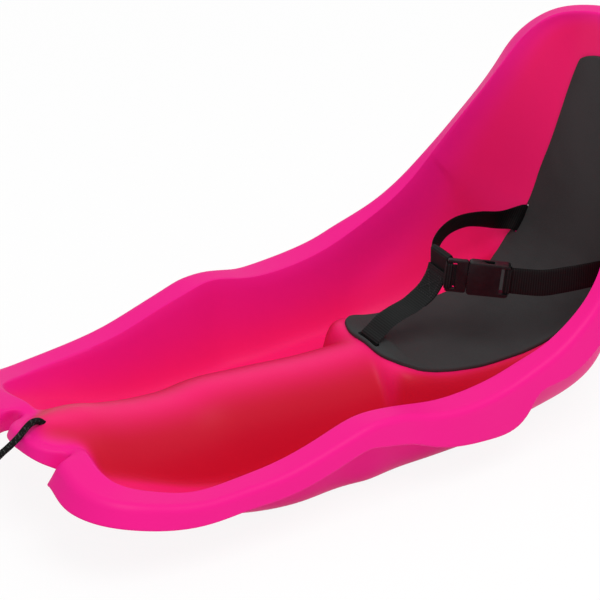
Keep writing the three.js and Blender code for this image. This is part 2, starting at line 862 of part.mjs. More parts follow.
// The rope's way from its knot under the tongue to the coil, a list of places chosen by hand.
const ropeRoute = [
  [0, -391.6, 103.6], [0, -394.0, 106.8], [0.3, -397.8, 111.2], [1.5, -403.8, 114.3],
  [3, -411, 114.4], [5, -419, 111.0], [7, -427.5, 106.2], [9, -439, 101], [11, -450.8, 96.6],
  [15, -470, 86], [20, -492, 68], [26, -516, 46], [33, -540, 25], [41, -563, 10],
  [49, -584, 4.4], [55, -600, 3.6], [58.5, -608.2, 3.6],
];

const routePoints = ropeRoute.map(([x, y, z]) => new THREE.Vector3(x, y, z));

function ropeHole() {
  const holeSegments = 16;
  const through = 2 * (wall + cutOverrun) + knotLength;
  const hole = new THREE.CylinderGeometry(
    ropeDiameter / 2 + ropeHoleClearance,
    ropeDiameter / 2 + ropeHoleClearance,
    through,
    holeSegments,
  );
  const direction = routePoints[1].clone().sub(routePoints[0]).normalize();
  hole.applyQuaternion(new THREE.Quaternion().setFromUnitVectors(axisY, direction));
  const centre = routePoints[1].clone();
  hole.translate(centre.x, centre.y, centre.z);
  return solidFrom(hole);
}

function shellSolid() {
  const body = solidFrom(thickened(skin, 0, wall));
  return cut(body, crotchSlot(), waistSlot(1), waistSlot(-1), ropeHole());
}

// The foam pad follows the hull from the platform's front edge up the backrest.
function padSolid() {
  const rows = 23;
  const halfColumns = 6;
  const top = [];
  const bottom = [];
  const columns = 2 * halfColumns + 1;
  for (let i = 0; i <= rows; i += 1) {
    const u = i / rows;
    const eased = (u + u * u * (3 - 2 * u)) / 2;
    for (let j = -halfColumns; j <= halfColumns; j += 1) {
      const v = Math.sin((j / halfColumns) * (Math.PI / 2));
      const across = v * padHalf(eased);
      const station = padFrontStation + padLength * eased
        + padFrontBow * Math.abs(v) ** 3 * (1 - eased) ** 8
        - padTopBow * v * v * eased ** 8;
      const edge = Math.max(Math.abs(v), Math.abs(2 * eased - 1)) ** 24;
      const thickness = padThickness * (1 - padEdgeShare * edge);
      const normal = skinNormal(across, station);
      const bed = skinPoint(across, station);
      top.push(bed.clone().addScaledVector(normal, thickness));
      bottom.push(bed.addScaledVector(normal, -padSink));
    }
  }
  const points = [...top, ...bottom];
  const count = top.length;
  const faces = [];
  const quad = (a, b, c, d) => faces.push([a, b, c], [a, c, d]);
  for (let i = 0; i < rows; i += 1) {
    for (let j = 0; j < columns - 1; j += 1) {
      const a = i * columns + j;
      quad(a, a + 1, a + 1 + columns, a + columns);
      quad(a + count, a + count + columns, a + 1 + columns + count, a + 1 + count);
    }
  }
  for (let j = 0; j < columns - 1; j += 1) {
    const far = rows * columns + j;
    quad(j + 1, j, j + count, j + 1 + count);
    quad(far, far + 1, far + 1 + count, far + count);
  }
  for (let i = 0; i < rows; i += 1) {
    const left = i * columns;
    const right = left + columns - 1;
    quad(left, left + columns, left + columns + count, left + count);
    quad(right + columns, right, right + count, right + columns + count);
  }
  const blank = solidFrom(geometryFrom(points, faces));
  const bed = solidFrom(thickened(skin, fitGap, wall + padThickness));
  return cut(blank, bed, crotchSlot(), waistSlot(1), waistSlot(-1));
}

// A closed webbing eye around a bar or a belt: hollow size along two axes and its corner radius.
function eyeSolid(centre, hollowRight, hollowUp, corner, right, up) {
  const halfRight = hollowRight / 2;
  const halfUp = hollowUp / 2;
  const outer = roundedBox(
    -halfRight - webbing,
    -halfUp - webbing,
    halfRight + webbing,
    halfUp + webbing,
    corner + webbing,
  );
  outer.holes.push(roundedBox(-halfRight, -halfUp, halfRight, halfUp, corner));
  return plateSolid(outer, webbingWidth, right, up, centre);
}

// Under the platform the crotch strap is wrapped round its keeper.
const keeperHollow = keeperBar + 2 * fitGap;
const underPlatform = crotchSlotCentre.z - wall;
const keeperCentre = new THREE.Vector3(
  0,
  0,
  underPlatform - 2 * fitGap - webbing - keeperHollow / 2,
);

function crotchStrapSolid() {
  const loopCentre = new THREE.Vector3(0, loopStation, loopHeight);
  const loop = eyeSolid(loopCentre, loopGap, loopHollow, loopGap / 2 - fitGap, axisY, axisZ);
  const keeperEye = eyeSolid(keeperCentre, keeperHollow, keeperHollow, fitGap, axisY, axisZ);
  const padTop = crotchSlotCentre.z + padThickness;
  const loopFoot = loopHeight - loopHollow / 2 - webbing / 2;
  const stem = [
    [0, keeperCentre.z + keeperHollow / 2 + webbing / 2],
    [0, padTop + 2 * webbing],
    [slotWidth, padTop + stemRise / 2],
    [loopStation / 3, padTop + stemRise],
    [(2 * loopStation) / 3, (padTop + stemRise + loopFoot) / 2],
    [loopStation, loopFoot],
  ];
  const line = (x) => stem.map(([y, z]) => new THREE.Vector3(x, y, z));
  const stemSteps = 16;
  const stemSolid = solidFrom(ribbonGeometry(
    line(webbingWidth / 2),
    line(-webbingWidth / 2),
    webbing,
    2 * webbing,
    stemSteps,
  ));
  return joined(stemSolid, loop, keeperEye);
}

// The keeper's two ends are deeper than its bar, so they bear on the hull beside the strap.
function keeperSolid() {
  const half = keeperLength / 2;
  const corners = [1, -1].flatMap((end) => [0, half].map((x) => [x, (end * keeperEnd) / 2]));
  const undersides = corners.map(([x, y]) => place(x, y, skinHeight(x, y).height - wall).z);
  const rise = Math.min(...undersides) - webbing - keeperCentre.z;
  const waist = webbingWidth / 2 + fitGap;
  const shape = new THREE.Shape();
  shape.moveTo(-half, -keeperBar / 2);
  shape.lineTo(half, -keeperBar / 2);
  shape.lineTo(half, rise);
  shape.lineTo(waist, rise);
  shape.lineTo(waist, keeperBar / 2);
  shape.lineTo(-waist, keeperBar / 2);
  shape.lineTo(-waist, rise);
  shape.lineTo(-half, rise);
  shape.closePath();
  const ends = plateSolid(shape, keeperEnd, axisX, axisZ, keeperCentre);
  const spare = (keeperEnd - keeperBar) / 2;
  const trim = [1, -1].map((side) => boxSolid(
    keeperCentre.clone().add(new THREE.Vector3(0, (side * (keeperBar + spare)) / 2, 0)),
    new THREE.Vector3(2 * waist, spare, 2 * keeperEnd),
  ));
  return cut(ends, ...trim);
}

// Buckle frame: ahead from plug to socket, upright across the webbing, face outwards.
const ahead = new THREE.Vector3(
  Math.cos(buckleHeading) * Math.cos(buckleFall),
  Math.sin(buckleHeading) * Math.cos(buckleFall),
  -Math.sin(buckleFall),
);
const face = ahead.clone().cross(axisZ).normalize();
const upright = face.clone().cross(ahead);
const buckleTurn = new THREE.Matrix4().makeBasis(ahead, upright, face);
const buckleCentre = new THREE.Vector3(buckleAcross, buckleStation, buckleHeight);
const inBuckle = (x, y, z) => new THREE.Vector3(x, y, z).applyMatrix4(buckleTurn).add(buckleCentre);

function buckleBox(x, y, z, sizeX, sizeY, sizeZ) {
  return boxSolid(inBuckle(x, y, z), new THREE.Vector3(sizeX, sizeY, sizeZ), buckleTurn);
}

const plugEnd = -buckleLength / 2;
const socketEnd = buckleLength / 2;
const socketMouth = socketEnd - socketLength;
const cavityHalf = buckleWidth / 2 - buckleWall - fitGap;
const cavityDepth = plugDepth + 2 * fitGap;
const innerArm = cavityHalf - fitGap - armWidth;

function socketSolid() {
  const tail = 2 * buckleBar + buckleSlot;
  const outline = roundedBox(socketMouth, -buckleWidth / 2, socketEnd, buckleWidth / 2, cornerRadius);
  const body = plateSolid(outline, buckleDepth, ahead, upright, buckleCentre);
  const cavityEnd = socketEnd - tail;
  const cavity = buckleBox(
    (socketMouth - cutOverrun + cavityEnd) / 2,
    0,
    0,
    cavityEnd - socketMouth + cutOverrun,
    2 * cavityHalf,
    cavityDepth,
  );
  const barbAt = socketMouth + armReach - barbLength;
  const windows = buckleBox(
    barbAt + windowLength / 2 - fitGap,
    0,
    0,
    windowLength,
    buckleWidth + 2 * cutOverrun,
    cavityDepth,
  );
  const webbingSlot = buckleBox(
    socketEnd - buckleBar - buckleSlot / 2,
    0,
    0,
    buckleSlot,
    webbingWidth + 2 * fitGap,
    buckleDepth + 2 * cutOverrun,
  );
  const trimLength = buckleBar + buckleSlot;
  const trimDepth = (buckleDepth - plugDepth) / 2;
  const trims = [1, -1].map((side) => buckleBox(
    socketEnd - trimLength / 2 + cutOverrun / 2,
    0,
    (side * (buckleDepth + plugDepth + cutOverrun)) / 4 + (side * cutOverrun) / 4,
    trimLength + cutOverrun,
    webbingWidth + 2 * fitGap,
    trimDepth + cutOverrun,
  ));
  return cut(body, cavity, windows, webbingSlot, ...trims);
}

function plugSolid() {
  const tailEnd = socketMouth - fitGap;
  const outline = roundedBox(plugEnd, -buckleWidth / 2, tailEnd, buckleWidth / 2, cornerRadius / 2);
  const tail = plateSolid(outline, plugDepth, ahead, upright, buckleCentre);
  const slot = buckleBox(
    plugEnd + buckleBar + buckleSlot / 2,
    0,
    0,
    buckleSlot,
    webbingWidth + 2 * fitGap,
    plugDepth + 2 * cutOverrun,
  );
  const guideLength = armReach - fitGap;
  const guide = buckleBox(
    tailEnd + guideLength / 2 - fitGap,
    0,
    0,
    guideLength + 2 * fitGap,
    guideWidth,
    plugDepth,
  );
  return joined(cut(tail, slot), guide);
}

// A latch arm, on side 1 (upper) or -1 (lower): a springy leg with a barb at its end.
function armSolid(side) {
  const outer = innerArm + armWidth;
  const rootRound = armWidth / 2;
  const start = socketMouth + fitGap + rootRound;
  const tip = socketMouth + armReach;
  const catchAt = tip - barbLength;
  const shape = new THREE.Shape();
  shape.absarc(start, innerArm + rootRound, rootRound, Math.PI / 2, (3 * Math.PI) / 2);
  shape.lineTo(tip - barbHeight, innerArm);
  shape.lineTo(tip, innerArm + rootRound);
  shape.lineTo(tip - barbHeight, outer);
  shape.lineTo(catchAt + barbHeight, outer + barbHeight);
  shape.lineTo(catchAt, outer + barbHeight);
  shape.lineTo(catchAt, outer);
  shape.closePath();
  const solid = plateSolid(shape, plugDepth, axisX, axisY, new THREE.Vector3());
  const seated = buckleTurn.clone().setPosition(buckleCentre);
  const turned = new THREE.Matrix4().makeRotationX(side > 0 ? 0 : Math.PI);
  return solid.transform(seated.multiply(turned).elements);
}

// Waist belt: from the plug through the crotch strap's loop to the right slot and behind the
// backrest to the left slot; its short end comes out of the left slot to the socket.
const barHalf = buckleBar / 2;
const eyeHollow = buckleBar + 2 * fitGap;
const eyeDepth = plugDepth + 2 * fitGap;
const plugBar = inBuckle(plugEnd + barHalf, 0, 0);
const socketBar = inBuckle(socketEnd - barHalf, 0, 0);

function barEye(bar) {
  return eyeSolid(bar, eyeHollow, eyeDepth, fitGap, ahead, face.clone().negate());
}

// A corner of the webbing in a waist slot: end 1 or -1 is its upper or lower edge.
function slotEdge(side, end, beyond) {
  return slotTurn(side)
    .addScaledVector(slotUp, (end * webbingWidth) / 2)
    .addScaledVector(slotBack, beyond);
}

// Edges of the belt on its way between slot and crotch loop: across as a share of the slot's
// place, along as a share of the way from loop to slot, and up from the loop's middle in shares
// of the webbing's width; upper edge first, then lower edge.
const farBeltShares = [
  [[0.96, 0.80, -0.42], [1.00, 0.75, -1.28]],
  [[0.80, 0.607, -0.09], [0.93, 0.664, -0.99]],
  [[0.69, 0.404, 0.22], [0.81, 0.494, -0.57]],
  [[0.53, 0.226, 0.43], [0.64, 0.295, -0.30]],
  [[0.33, 0.062, 0.49], [0.40, 0.100, -0.46]],
  [[0.19, 0.000, 0.50], [0.19, 0.000, -0.50]],
  [[0.00, -0.006, 0.50], [0.00, -0.006, -0.50]],
  [[-0.172, -0.006, 0.50], [-0.172, -0.006, -0.50]],
];
const nearBeltShares = [
  [[0.83, 0.464, 0.15], [0.83, 0.454, -0.80]],
  [[0.97, 0.596, 0.37], [0.98, 0.572, -0.63]],
  [[1.08, 0.795, 0.25], [1.09, 0.790, -0.70]],
  [[1.03, 0.870, -0.18], [1.03, 0.820, -1.08]],
];

function beltPlace(side, [across, along, up]) {
  return new THREE.Vector3(
    side * across * waistSlotAcross,
    loopStation + along * (slotMiddle.y - loopStation),
    loopHeight + up * webbingWidth,
  );
}

// A corner of the belt behind the backrest, lying on the hull's outside.
function backEdge(across, end) {
  const [station] = sectionOf(slotMiddle.y, slotMiddle.z);
  const offset = wall + 4 * fitGap + webbing / 2;
  const outside = (at) => skinPoint(across, at).addScaledVector(skinNormal(across, at), -offset);
  const half = webbingWidth / 2;
  const up = outside(station + half).sub(outside(station - half)).normalize();
  return outside(station).addScaledVector(up, end * half);
}

const beltBehind = wall + padThickness;
const beltMeet = waistSlotAcross - slotWidth;

function waistBeltSolid() {
  const backPoints = 12;
  const backStart = -beltMeet + 3 * slotWidth;
  const arrival = plugBar.clone().addScaledVector(face, -(eyeDepth + webbing) / 2);
  const edge = (end) => {
    const row = (1 - end) / 2;
    const points = [arrival.clone().addScaledVector(upright, (end * webbingWidth) / 2)];
    for (let i = farBeltShares.length - 1; i >= 0; i -= 1) {
      points.push(beltPlace(-1, farBeltShares[i][row]));
    }
    points.push(slotEdge(-1, end, -2 * beltBehind));
    points.push(slotEdge(-1, end, 0));
    points.push(slotEdge(-1, end, beltBehind));
    for (let i = 0; i <= backPoints; i += 1) {
      points.push(backEdge(backStart + ((beltMeet - backStart) * i) / backPoints, end));
    }
    return points;
  };
  const beltSteps = 108;
  const belt = ribbonGeometry(edge(1), edge(-1), webbing, webbing, beltSteps);
  return joined(solidFrom(belt), barEye(plugBar));
}

function shortBeltSolid() {
  const leave = socketBar.clone().addScaledVector(ahead, (eyeHollow + webbing) / 2);
  const edge = (end) => {
    const row = (1 - end) / 2;
    const points = [leave.clone().addScaledVector(upright, (end * webbingWidth) / 2)];
    nearBeltShares.forEach((pair) => points.push(beltPlace(1, pair[row])));
    points.push(slotEdge(1, end, -2 * beltBehind));
    points.push(slotEdge(1, end, 0));
    points.push(slotEdge(1, end, beltBehind));
    return points;
  };
  const beltSteps = 36;
  const belt = ribbonGeometry(edge(1), edge(-1), 2 * webbing, webbing, beltSteps);
  return joined(solidFrom(belt), barEye(socketBar));
}

// Pull rope

const rope = ropeDiameter / 2;

function knotGeometry(centre, direction) {
  const knotSegments = 16;
  const half = knotLength / 2;
  const bulge = knotDiameter - rope;
  const profile = new THREE.Path();
  profile.moveTo(0, -half);
  profile.lineTo(rope, -half);
  profile.bezierCurveTo(bulge, -half, bulge, half, rope, half);
  profile.lineTo(0, half);
  const profileSteps = 5;
  const geometry = new THREE.LatheGeometry(profile.getPoints(profileSteps), knotSegments);
  geometry.applyQuaternion(new THREE.Quaternion().setFromUnitVectors(axisY, direction));
  geometry.translate(centre.x, centre.y, centre.z);
  return geometryOf(solidFrom(geometry));
}

const routeStart = routePoints[1].clone().sub(routePoints[0]).normalize();
const routeEnd = routePoints[routePoints.length - 1].clone();
const routeHeading = routeEnd.clone().sub(routePoints[routePoints.length - 2]).normalize();

function freeRopePoints() {
  const curve = new THREE.CatmullRomCurve3(routePoints, false, 'centripetal');
  const ropeSteps = 36;
  return curve.getSpacedPoints(ropeSteps);
}

// The coil winds in on the floor, climbs one layer in a half turn and winds out again.
function coilPoints() {
  const outer = coilMiddleRadius + (coilPitch * coilTurns) / 2;
  const side = new THREE.Vector3(-routeHeading.y, routeHeading.x, 0);
  const first = routeEnd.clone().addScaledVector(routeHeading, fitGap);
  const start = first.clone().addScaledVector(routeHeading, ropeDiameter);
  const centre = start.clone().addScaledVector(side, -outer);
  const turns = 2 * coilTurns + 1 / 2;
  const steps = turns * coilStepsPerTurn;
  const points = [first];
  let heading = routeHeading;
  for (let i = 0; i <= steps; i += 1) {
    const turn = i / coilStepsPerTurn;
    const inward = coilTurns + 1 / 4 - Math.abs(turn - coilTurns - 1 / 4);
    const radius = outer - coilPitch * inward;
    const layer = smooth((turn - coilTurns) * 2);
    const angle = -2 * Math.PI * turn;
    const spoke = side.clone().applyAxisAngle(axisZ, angle);
    heading = routeHeading.clone().applyAxisAngle(axisZ, angle);
    const point = centre.clone().addScaledVector(spoke, radius);
    point.z += coilPitch * layer;
    points.push(point);
  }
  points.push(points[points.length - 1].clone().addScaledVector(heading, 3 * ropeDiameter));
  return { points, heading };
}

const coil = coilPoints();

function lengthOf(points) {
  return points.slice(1).reduce((sum, point, i) => sum + point.distanceTo(points[i]), 0);
}

// The least gap between parts of a tube that are further apart along it than a few diameters.
function selfGap(points, diameter) {
  const apart = 3 * diameter;
  const lengths = [0];
  for (let i = 1; i < points.length; i += 1) {
    lengths.push(lengths[i - 1] + points[i].distanceTo(points[i - 1]));
  }
  let least = Infinity;
  for (let i = 0; i < points.length; i += 1) {
    for (let j = i + 1; j < points.length; j += 1) {
      if (lengths[j] - lengths[i] > apart) {
        least = Math.min(least, points[i].distanceTo(points[j]) - diameter);
      }
    }
  }
  return least;
}

const freeRope = freeRopePoints();
console.log('rope coil: least gap to itself, mm', selfGap(coil.points, ropeDiameter).toFixed(2));
console.log('free rope, mm', lengthOf(freeRope).toFixed(0), 'coil, mm', lengthOf(coil.points).toFixed(0));

// Assembly

function plastic(color, roughness) {
  return new THREE.MeshStandardMaterial({ color, roughness, metalness: 0 });
}

const hullPink = plastic(0xf0208c, 0.38);
const foam = plastic(0x343434, 0.95);
const nylonWebbing = plastic(0x1c1c1c, 0.85);
const buckleBlack = plastic(0x101010, 0.35);
const ropeBlack = plastic(0x15161a, 0.8);

const sled = new THREE.Group();

function addPiece(name, geometry, material) {
  const mesh = new THREE.Mesh(geometry, material);
  mesh.name = name;
  sled.add(mesh);
}

addPiece('shell', geometryOf(shellSolid()), hullPink);
addPiece('seat_pad', geometryOf(padSolid()), foam);
addPiece('crotch_strap', geometryOf(crotchStrapSolid()), nylonWebbing);
addPiece('crotch_keeper', geometryOf(keeperSolid()), buckleBlack);
addPiece('waist_belt', geometryOf(waistBeltSolid()), nylonWebbing);
addPiece('waist_belt_short', geometryOf(shortBeltSolid()), nylonWebbing);
addPiece('buckle_plug', geometryOf(plugSolid()), buckleBlack);
addPiece('latch_arm_upper', geometryOf(armSolid(1)), buckleBlack);
addPiece('latch_arm_lower', geometryOf(armSolid(-1)), buckleBlack);
addPiece('buckle_socket', geometryOf(socketSolid()), buckleBlack);

const knotReach = knotLength / 2 + 2 * fitGap;
const stopperCentre = routePoints[0].clone().addScaledVector(routeStart, -knotReach);
const lastCoilPoint = coil.points[coil.points.length - 1];
const endKnotCentre = lastCoilPoint.clone().addScaledVector(coil.heading, knotReach);
addPiece('rope_stopper_knot', knotGeometry(stopperCentre, routeStart), ropeBlack);
addPiece('pull_rope', geometryOf(solidFrom(tubeGeometry(freeRope, rope, ropeSides))), ropeBlack);
addPiece('rope_coil', geometryOf(solidFrom(tubeGeometry(coil.points, rope, coilSides))), ropeBlack);
addPiece('rope_end_knot', knotGeometry(endKnotCentre, coil.heading), ropeBlack);

sled.position.y = slotStation;
const part = new THREE.Group();
part.add(sled);

export default part;
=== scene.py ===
"""The looks of a moulded baby pull sled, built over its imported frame.

The pieces are shaped in millimetres, in the sled's own stations along Y measured from the crotch
slot, and put into Blender in metres. The nose points to -Y, the rider's left side to +X.
"""

import logging
import math
from collections.abc import Callable, Sequence
from dataclasses import dataclass, field
from enum import Enum
from functools import cached_property

import bmesh
import bpy
import numpy as np
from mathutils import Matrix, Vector
from numpy.typing import NDArray


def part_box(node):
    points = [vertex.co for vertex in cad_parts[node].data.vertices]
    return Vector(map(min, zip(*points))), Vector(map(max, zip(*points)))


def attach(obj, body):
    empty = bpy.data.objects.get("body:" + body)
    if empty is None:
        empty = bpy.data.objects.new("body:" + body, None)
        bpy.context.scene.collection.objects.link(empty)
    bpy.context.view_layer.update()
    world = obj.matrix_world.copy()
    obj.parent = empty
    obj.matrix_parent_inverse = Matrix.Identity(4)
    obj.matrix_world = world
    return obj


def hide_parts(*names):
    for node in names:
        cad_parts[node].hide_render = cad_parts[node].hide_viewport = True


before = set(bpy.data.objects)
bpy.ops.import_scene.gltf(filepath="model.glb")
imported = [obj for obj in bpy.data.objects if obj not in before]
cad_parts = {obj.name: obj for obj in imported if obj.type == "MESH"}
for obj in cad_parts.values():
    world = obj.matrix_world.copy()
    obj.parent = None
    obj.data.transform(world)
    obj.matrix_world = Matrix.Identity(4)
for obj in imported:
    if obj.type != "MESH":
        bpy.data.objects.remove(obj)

Array = NDArray[np.float64]
Faces = NDArray[np.int64]
Surface = tuple[Array, list, Array]
log = logging.getLogger("sled")

# Where station 0 lies along Y, the play between fitted pieces and the room of one layer of webbing
SLOT_STATION = 49.5
FIT_GAP = 0.4
TAPE = 1.6
METRES = 0.001

TINY = 1e-12
ACROSS = np.array([1.0, 0, 0])
UPWARDS = np.array([0, 0, 1.0])


# Small maths


def smooth(value: Array) -> Array:
    """Return 3t^2 - 2t^3 of a value held between 0 and 1."""
    t = np.clip(value, 0, 1)
    return t * t * (3 - 2 * t)


def blended_max(a: Array, b: Array, blend: float) -> Array:
    """Return the larger of two heights, with a fillet where they cross."""
    return (a + b + np.hypot(a - b, blend)) / 2


def unit(vectors: Array) -> Array:
    """Return vectors of length one along the last axis."""
    lengths = np.linalg.norm(vectors, axis=-1, keepdims=True)
    return vectors / np.maximum(lengths, TINY)


def monotone_table(rows: Sequence[Sequence[float]], across: float, up: float) -> Callable:
    """Make a curve through a table's rows that never overshoots them.

    Each piece is a cubic whose end slopes are the harmonic mean of the slopes beside them.

    Args:
        rows: Pairs of place and value, as shares.
        across: The length that places are shares of.
        up: The length that values are shares of.

    Returns:
        A function from an array of places to an array of values.
    """
    xs, ys = np.array(rows, float).T * np.array([[across], [up]])
    slopes = np.diff(ys) / np.diff(xs)
    before, after = slopes[:-1], slopes[1:]
    total = np.where(np.abs(before + after) < TINY, 1.0, before + after)
    inner = np.where(before * after <= 0, 0.0, 2 * before * after / total)
    tangents = np.concatenate([slopes[:1], inner, slopes[-1:]])

    def curve(at: Array) -> Array:
        """Return the curve's values at an array of places."""
        x = np.clip(at, xs[0], xs[-1])
        i = np.clip(np.searchsorted(xs, x, side="left") - 1, 0, len(xs) - 2)
        step = xs[i + 1] - xs[i]
        t = (x - xs[i]) / step
        rise = t * t * (3 - 2 * t)
        start = t * (1 - t) ** 2 * step * tangents[i]
        end = t * t * (t - 1) * step * tangents[i + 1]
        return ys[i] * (1 - rise) + ys[i + 1] * rise + start + end

    return curve


def natural_spline(params: Array, values: Array, at: Array) -> Array:
    """Sample a natural cubic spline through rows of values.

    Args:
        params: Rising parameters of the rows.
        values: One row of numbers for each parameter.
        at: Parameters to sample at.

    Returns:
        One row of numbers for each sample.
    """
    steps = np.diff(params)
    count = len(params)
    system = np.eye(count)
    right = np.zeros_like(values)
    for i in range(1, count - 1):
        system[i, i - 1 : i + 2] = steps[i - 1], 2 * (steps[i - 1] + steps[i]), steps[i]
        change = (values[i + 1] - values[i]) / steps[i] - (values[i] - values[i - 1]) / steps[i - 1]
        right[i] = 6 * change
    bends = np.linalg.solve(system, right)
    k = np.clip(np.searchsorted(params, at, side="right") - 1, 0, count - 2)
    b = ((at - params[k]) / steps[k])[:, None]
    a = 1 - b
    curve = ((a**3 - a) * bends[k] + (b**3 - b) * bends[k + 1]) / 6
    return a * values[k] + b * values[k + 1] + curve * steps[k][:, None] ** 2


def centripetal(points: Array, samples: int) -> Array:
    """Sample a centripetal Catmull-Rom curve, evenly in its control points.

    Each span is the cubic whose end tangents come from the root of the distances between its
    four neighbours; the ends are continued straight on.

    Args:
        points: The control points, one row each.
        samples: How many rows to return.

    Returns:
        The curve's points, one row each.
    """
    first = 2 * points[0] - points[1]
    last = 2 * points[-1] - points[-2]
    padded = np.vstack([first, points, last])
    t = np.linspace(0, len(points) - 1, samples)
    i = np.clip(np.floor(t).astype(int), 0, len(points) - 2)
    w = (t - i)[:, None]
    p0, p1, p2, p3 = (padded[i + k] for k in range(4))

    def root(a: Array, b: Array) -> Array:
        """Return the square root of the distance between two rows of points."""
        return np.sqrt(np.linalg.norm(b - a, axis=1, keepdims=True))

    least = 1e-4
    d0, d1, d2 = root(p0, p1), root(p1, p2), root(p2, p3)
    d0 = np.where(d0 < least, d1, d0)
    d2 = np.where(d2 < least, d1, d2)
    t1 = ((p1 - p0) / d0 - (p2 - p0) / (d0 + d1) + (p2 - p1) / d1) * d1
    t2 = ((p2 - p1) / d1 - (p3 - p1) / (d1 + d2) + (p3 - p2) / d2) * d1
    c2 = -3 * p1 + 3 * p2 - 2 * t1 - t2
    c3 = 2 * p1 - 2 * p2 + t1 + t2
    return p1 + t1 * w + c2 * w**2 + c3 * w**3


def arc_lengths(points: Array) -> Array:
    """Return the distance along a line of points, from its first to each of them."""
    return np.concatenate([[0], np.cumsum(np.linalg.norm(np.diff(points, axis=0), axis=1))])


def sampled(points: Array, lengths: Array, at: Array) -> Array:
    """Return a line's points at given lengths along it."""
    return np.stack([np.interp(at, lengths, column) for column in points.T], axis=1)


def respaced(points: Array, samples: int) -> Array:
    """Return a line of points with its samples evenly spaced along it."""
    lengths = arc_lengths(points)
    return sampled(points, lengths, np.linspace(0, lengths[-1], samples))


def crowded(count: int, crowds: Sequence[tuple[float, float, float]]) -> Array:
    """Return values from 0 to 1 that crowd together round given centres.

    Args:
        count: How many values.
        crowds: For each crowd its centre, its spread and its weight.

    Returns:
        The rising values, from 0 to 1.
    """
    fine = 4000
    at = (np.arange(fine) + 0.5) / fine
    density = np.ones(fine)
    for centre, spread, weight in crowds:
        density += weight * np.exp(-(((at - centre) / spread) ** 2))
    sums = np.concatenate([[0], np.cumsum(density)])
    return np.interp(np.linspace(0, sums[-1], count), sums, np.linspace(0, 1, fine + 1))


# Meshes


def grid_quads(rows: int, columns: int, wrap: bool = False) -> Faces:
    """Return the quads of a grid of points stored row by row.

    Args:
        rows: Number of rows of points.
        columns: Number of points in a row.
        wrap: Whether the last column joins the first.

    Returns:
        Rows of four point indices.
    """
    i = np.arange(rows - 1)[:, None]
    j = np.arange(columns if wrap else columns - 1)[None, :]
    k = (j + 1) % columns
    here, below = i * columns, (i + 1) * columns
    return np.stack([here + j, here + k, below + k, below + j], -1).reshape(-1, 4)


def grid_border(rows: int, columns: int) -> Faces:
    """Return the point indices round a grid's edge, from the start of its first row."""
    index = np.arange(rows * columns).reshape(rows, columns)
    return np.concatenate([index[0, :-1], index[:-1, -1], index[-1, :0:-1], index[:0:-1, 0]])


def strips_between(loops: Faces) -> Faces:
    """Return the quads between closed loops of point indices, one loop in each row."""
    after = np.roll(loops, -1, axis=1)
    return np.stack([loops[:-1], loops[1:], after[1:], after[:-1]], -1).reshape(-1, 4)


def vertex_normals(points: Array, quads: Faces) -> Array:
    """Return each point's normal, the sum of its faces' area vectors made unit.

    Args:
        points: The vertices.
        quads: The faces, four indices each.

    Returns:
        One unit normal for each point.
    """
    corners = points[quads]
    areas = np.cross(corners[:, 2] - corners[:, 0], corners[:, 3] - corners[:, 1])
    sums = np.zeros_like(points)
    for k in range(4):
        np.add.at(sums, quads[:, k], areas)
    return unit(sums)


def relaxed(points: Array, quads: Faces, weights: Array, passes: int) -> Array:
    """Soften a crease: move each point towards the mean of its neighbours by its weight.

    Args:
        points: The vertices.
        quads: The faces that make them neighbours.
        weights: Each point's share of the move, from 0 to 1.
        passes: How often all are moved.

    Returns:
        The moved points.
    """
    edges = np.vstack([quads[:, [k, (k + 1) % 4]] for k in range(4)])
    moved = points.copy()
    for _ in range(passes):
        sums = np.zeros_like(moved)
        counts = np.zeros(len(moved))
        for a, b in ((0, 1), (1, 0)):
            np.add.at(sums, edges[:, a], moved[edges[:, b]])
            np.add.at(counts, edges[:, a], 1)
        moved += weights[:, None] * (sums / counts[:, None] - moved)
    return moved


def linked(name: str, data: bpy.types.ID) -> bpy.types.Object:
    """Return a new object at the origin, put into the scene.

    Args:
        name: The object's name.
        data: Its mesh, lamp or camera.

    Returns:
        The object.
    """
    made = bpy.data.objects.new(name, data)
    bpy.context.scene.collection.objects.link(made)
    return made


def shade(piece: bpy.types.Object, crease: float) -> bpy.types.Object:
    """Shade a piece smooth, except at edges over so many degrees.

    Args:
        piece: The mesh object.
        crease: Degrees past which an edge stays sharp.

    Returns:
        The same object.
    """
    piece.data.shade_smooth()
    piece.data.set_sharp_from_angle(angle=math.radians(crease))
    return piece


def mesh_piece(
    name: str,
    points: Array,
    faces: Sequence[Sequence[int]] | Faces,
    uv: Array | None = None,
    crease: float = 40.0,
) -> bpy.types.Object:
    """Make an object at the origin from points in millimetres at the sled's stations.

    Args:
        name: The piece's name.
        points: One row of x, station and z for each point.
        faces: Point indices of each face.
        uv: One row of two numbers for each point, kept as the map "weave".
        crease: Angle in degrees over which an edge stays sharp.

    Returns:
        The new object, shaded smooth.
    """
    mesh = bpy.data.meshes.new(name)
    placed = (points + np.array([0, SLOT_STATION, 0])) * METRES
    mesh.from_pydata(placed.tolist(), [], faces.tolist() if isinstance(faces, np.ndarray) else faces)
    if uv is not None:
        layer = mesh.uv_layers.new(name="weave")
        corners = np.empty(len(mesh.loops), dtype=np.int32)
        mesh.loops.foreach_get("vertex_index", corners)
        layer.data.foreach_set("uv", uv[corners].astype(np.float32).ravel())
    mesh.validate()
    return shade(linked(name, mesh), crease)


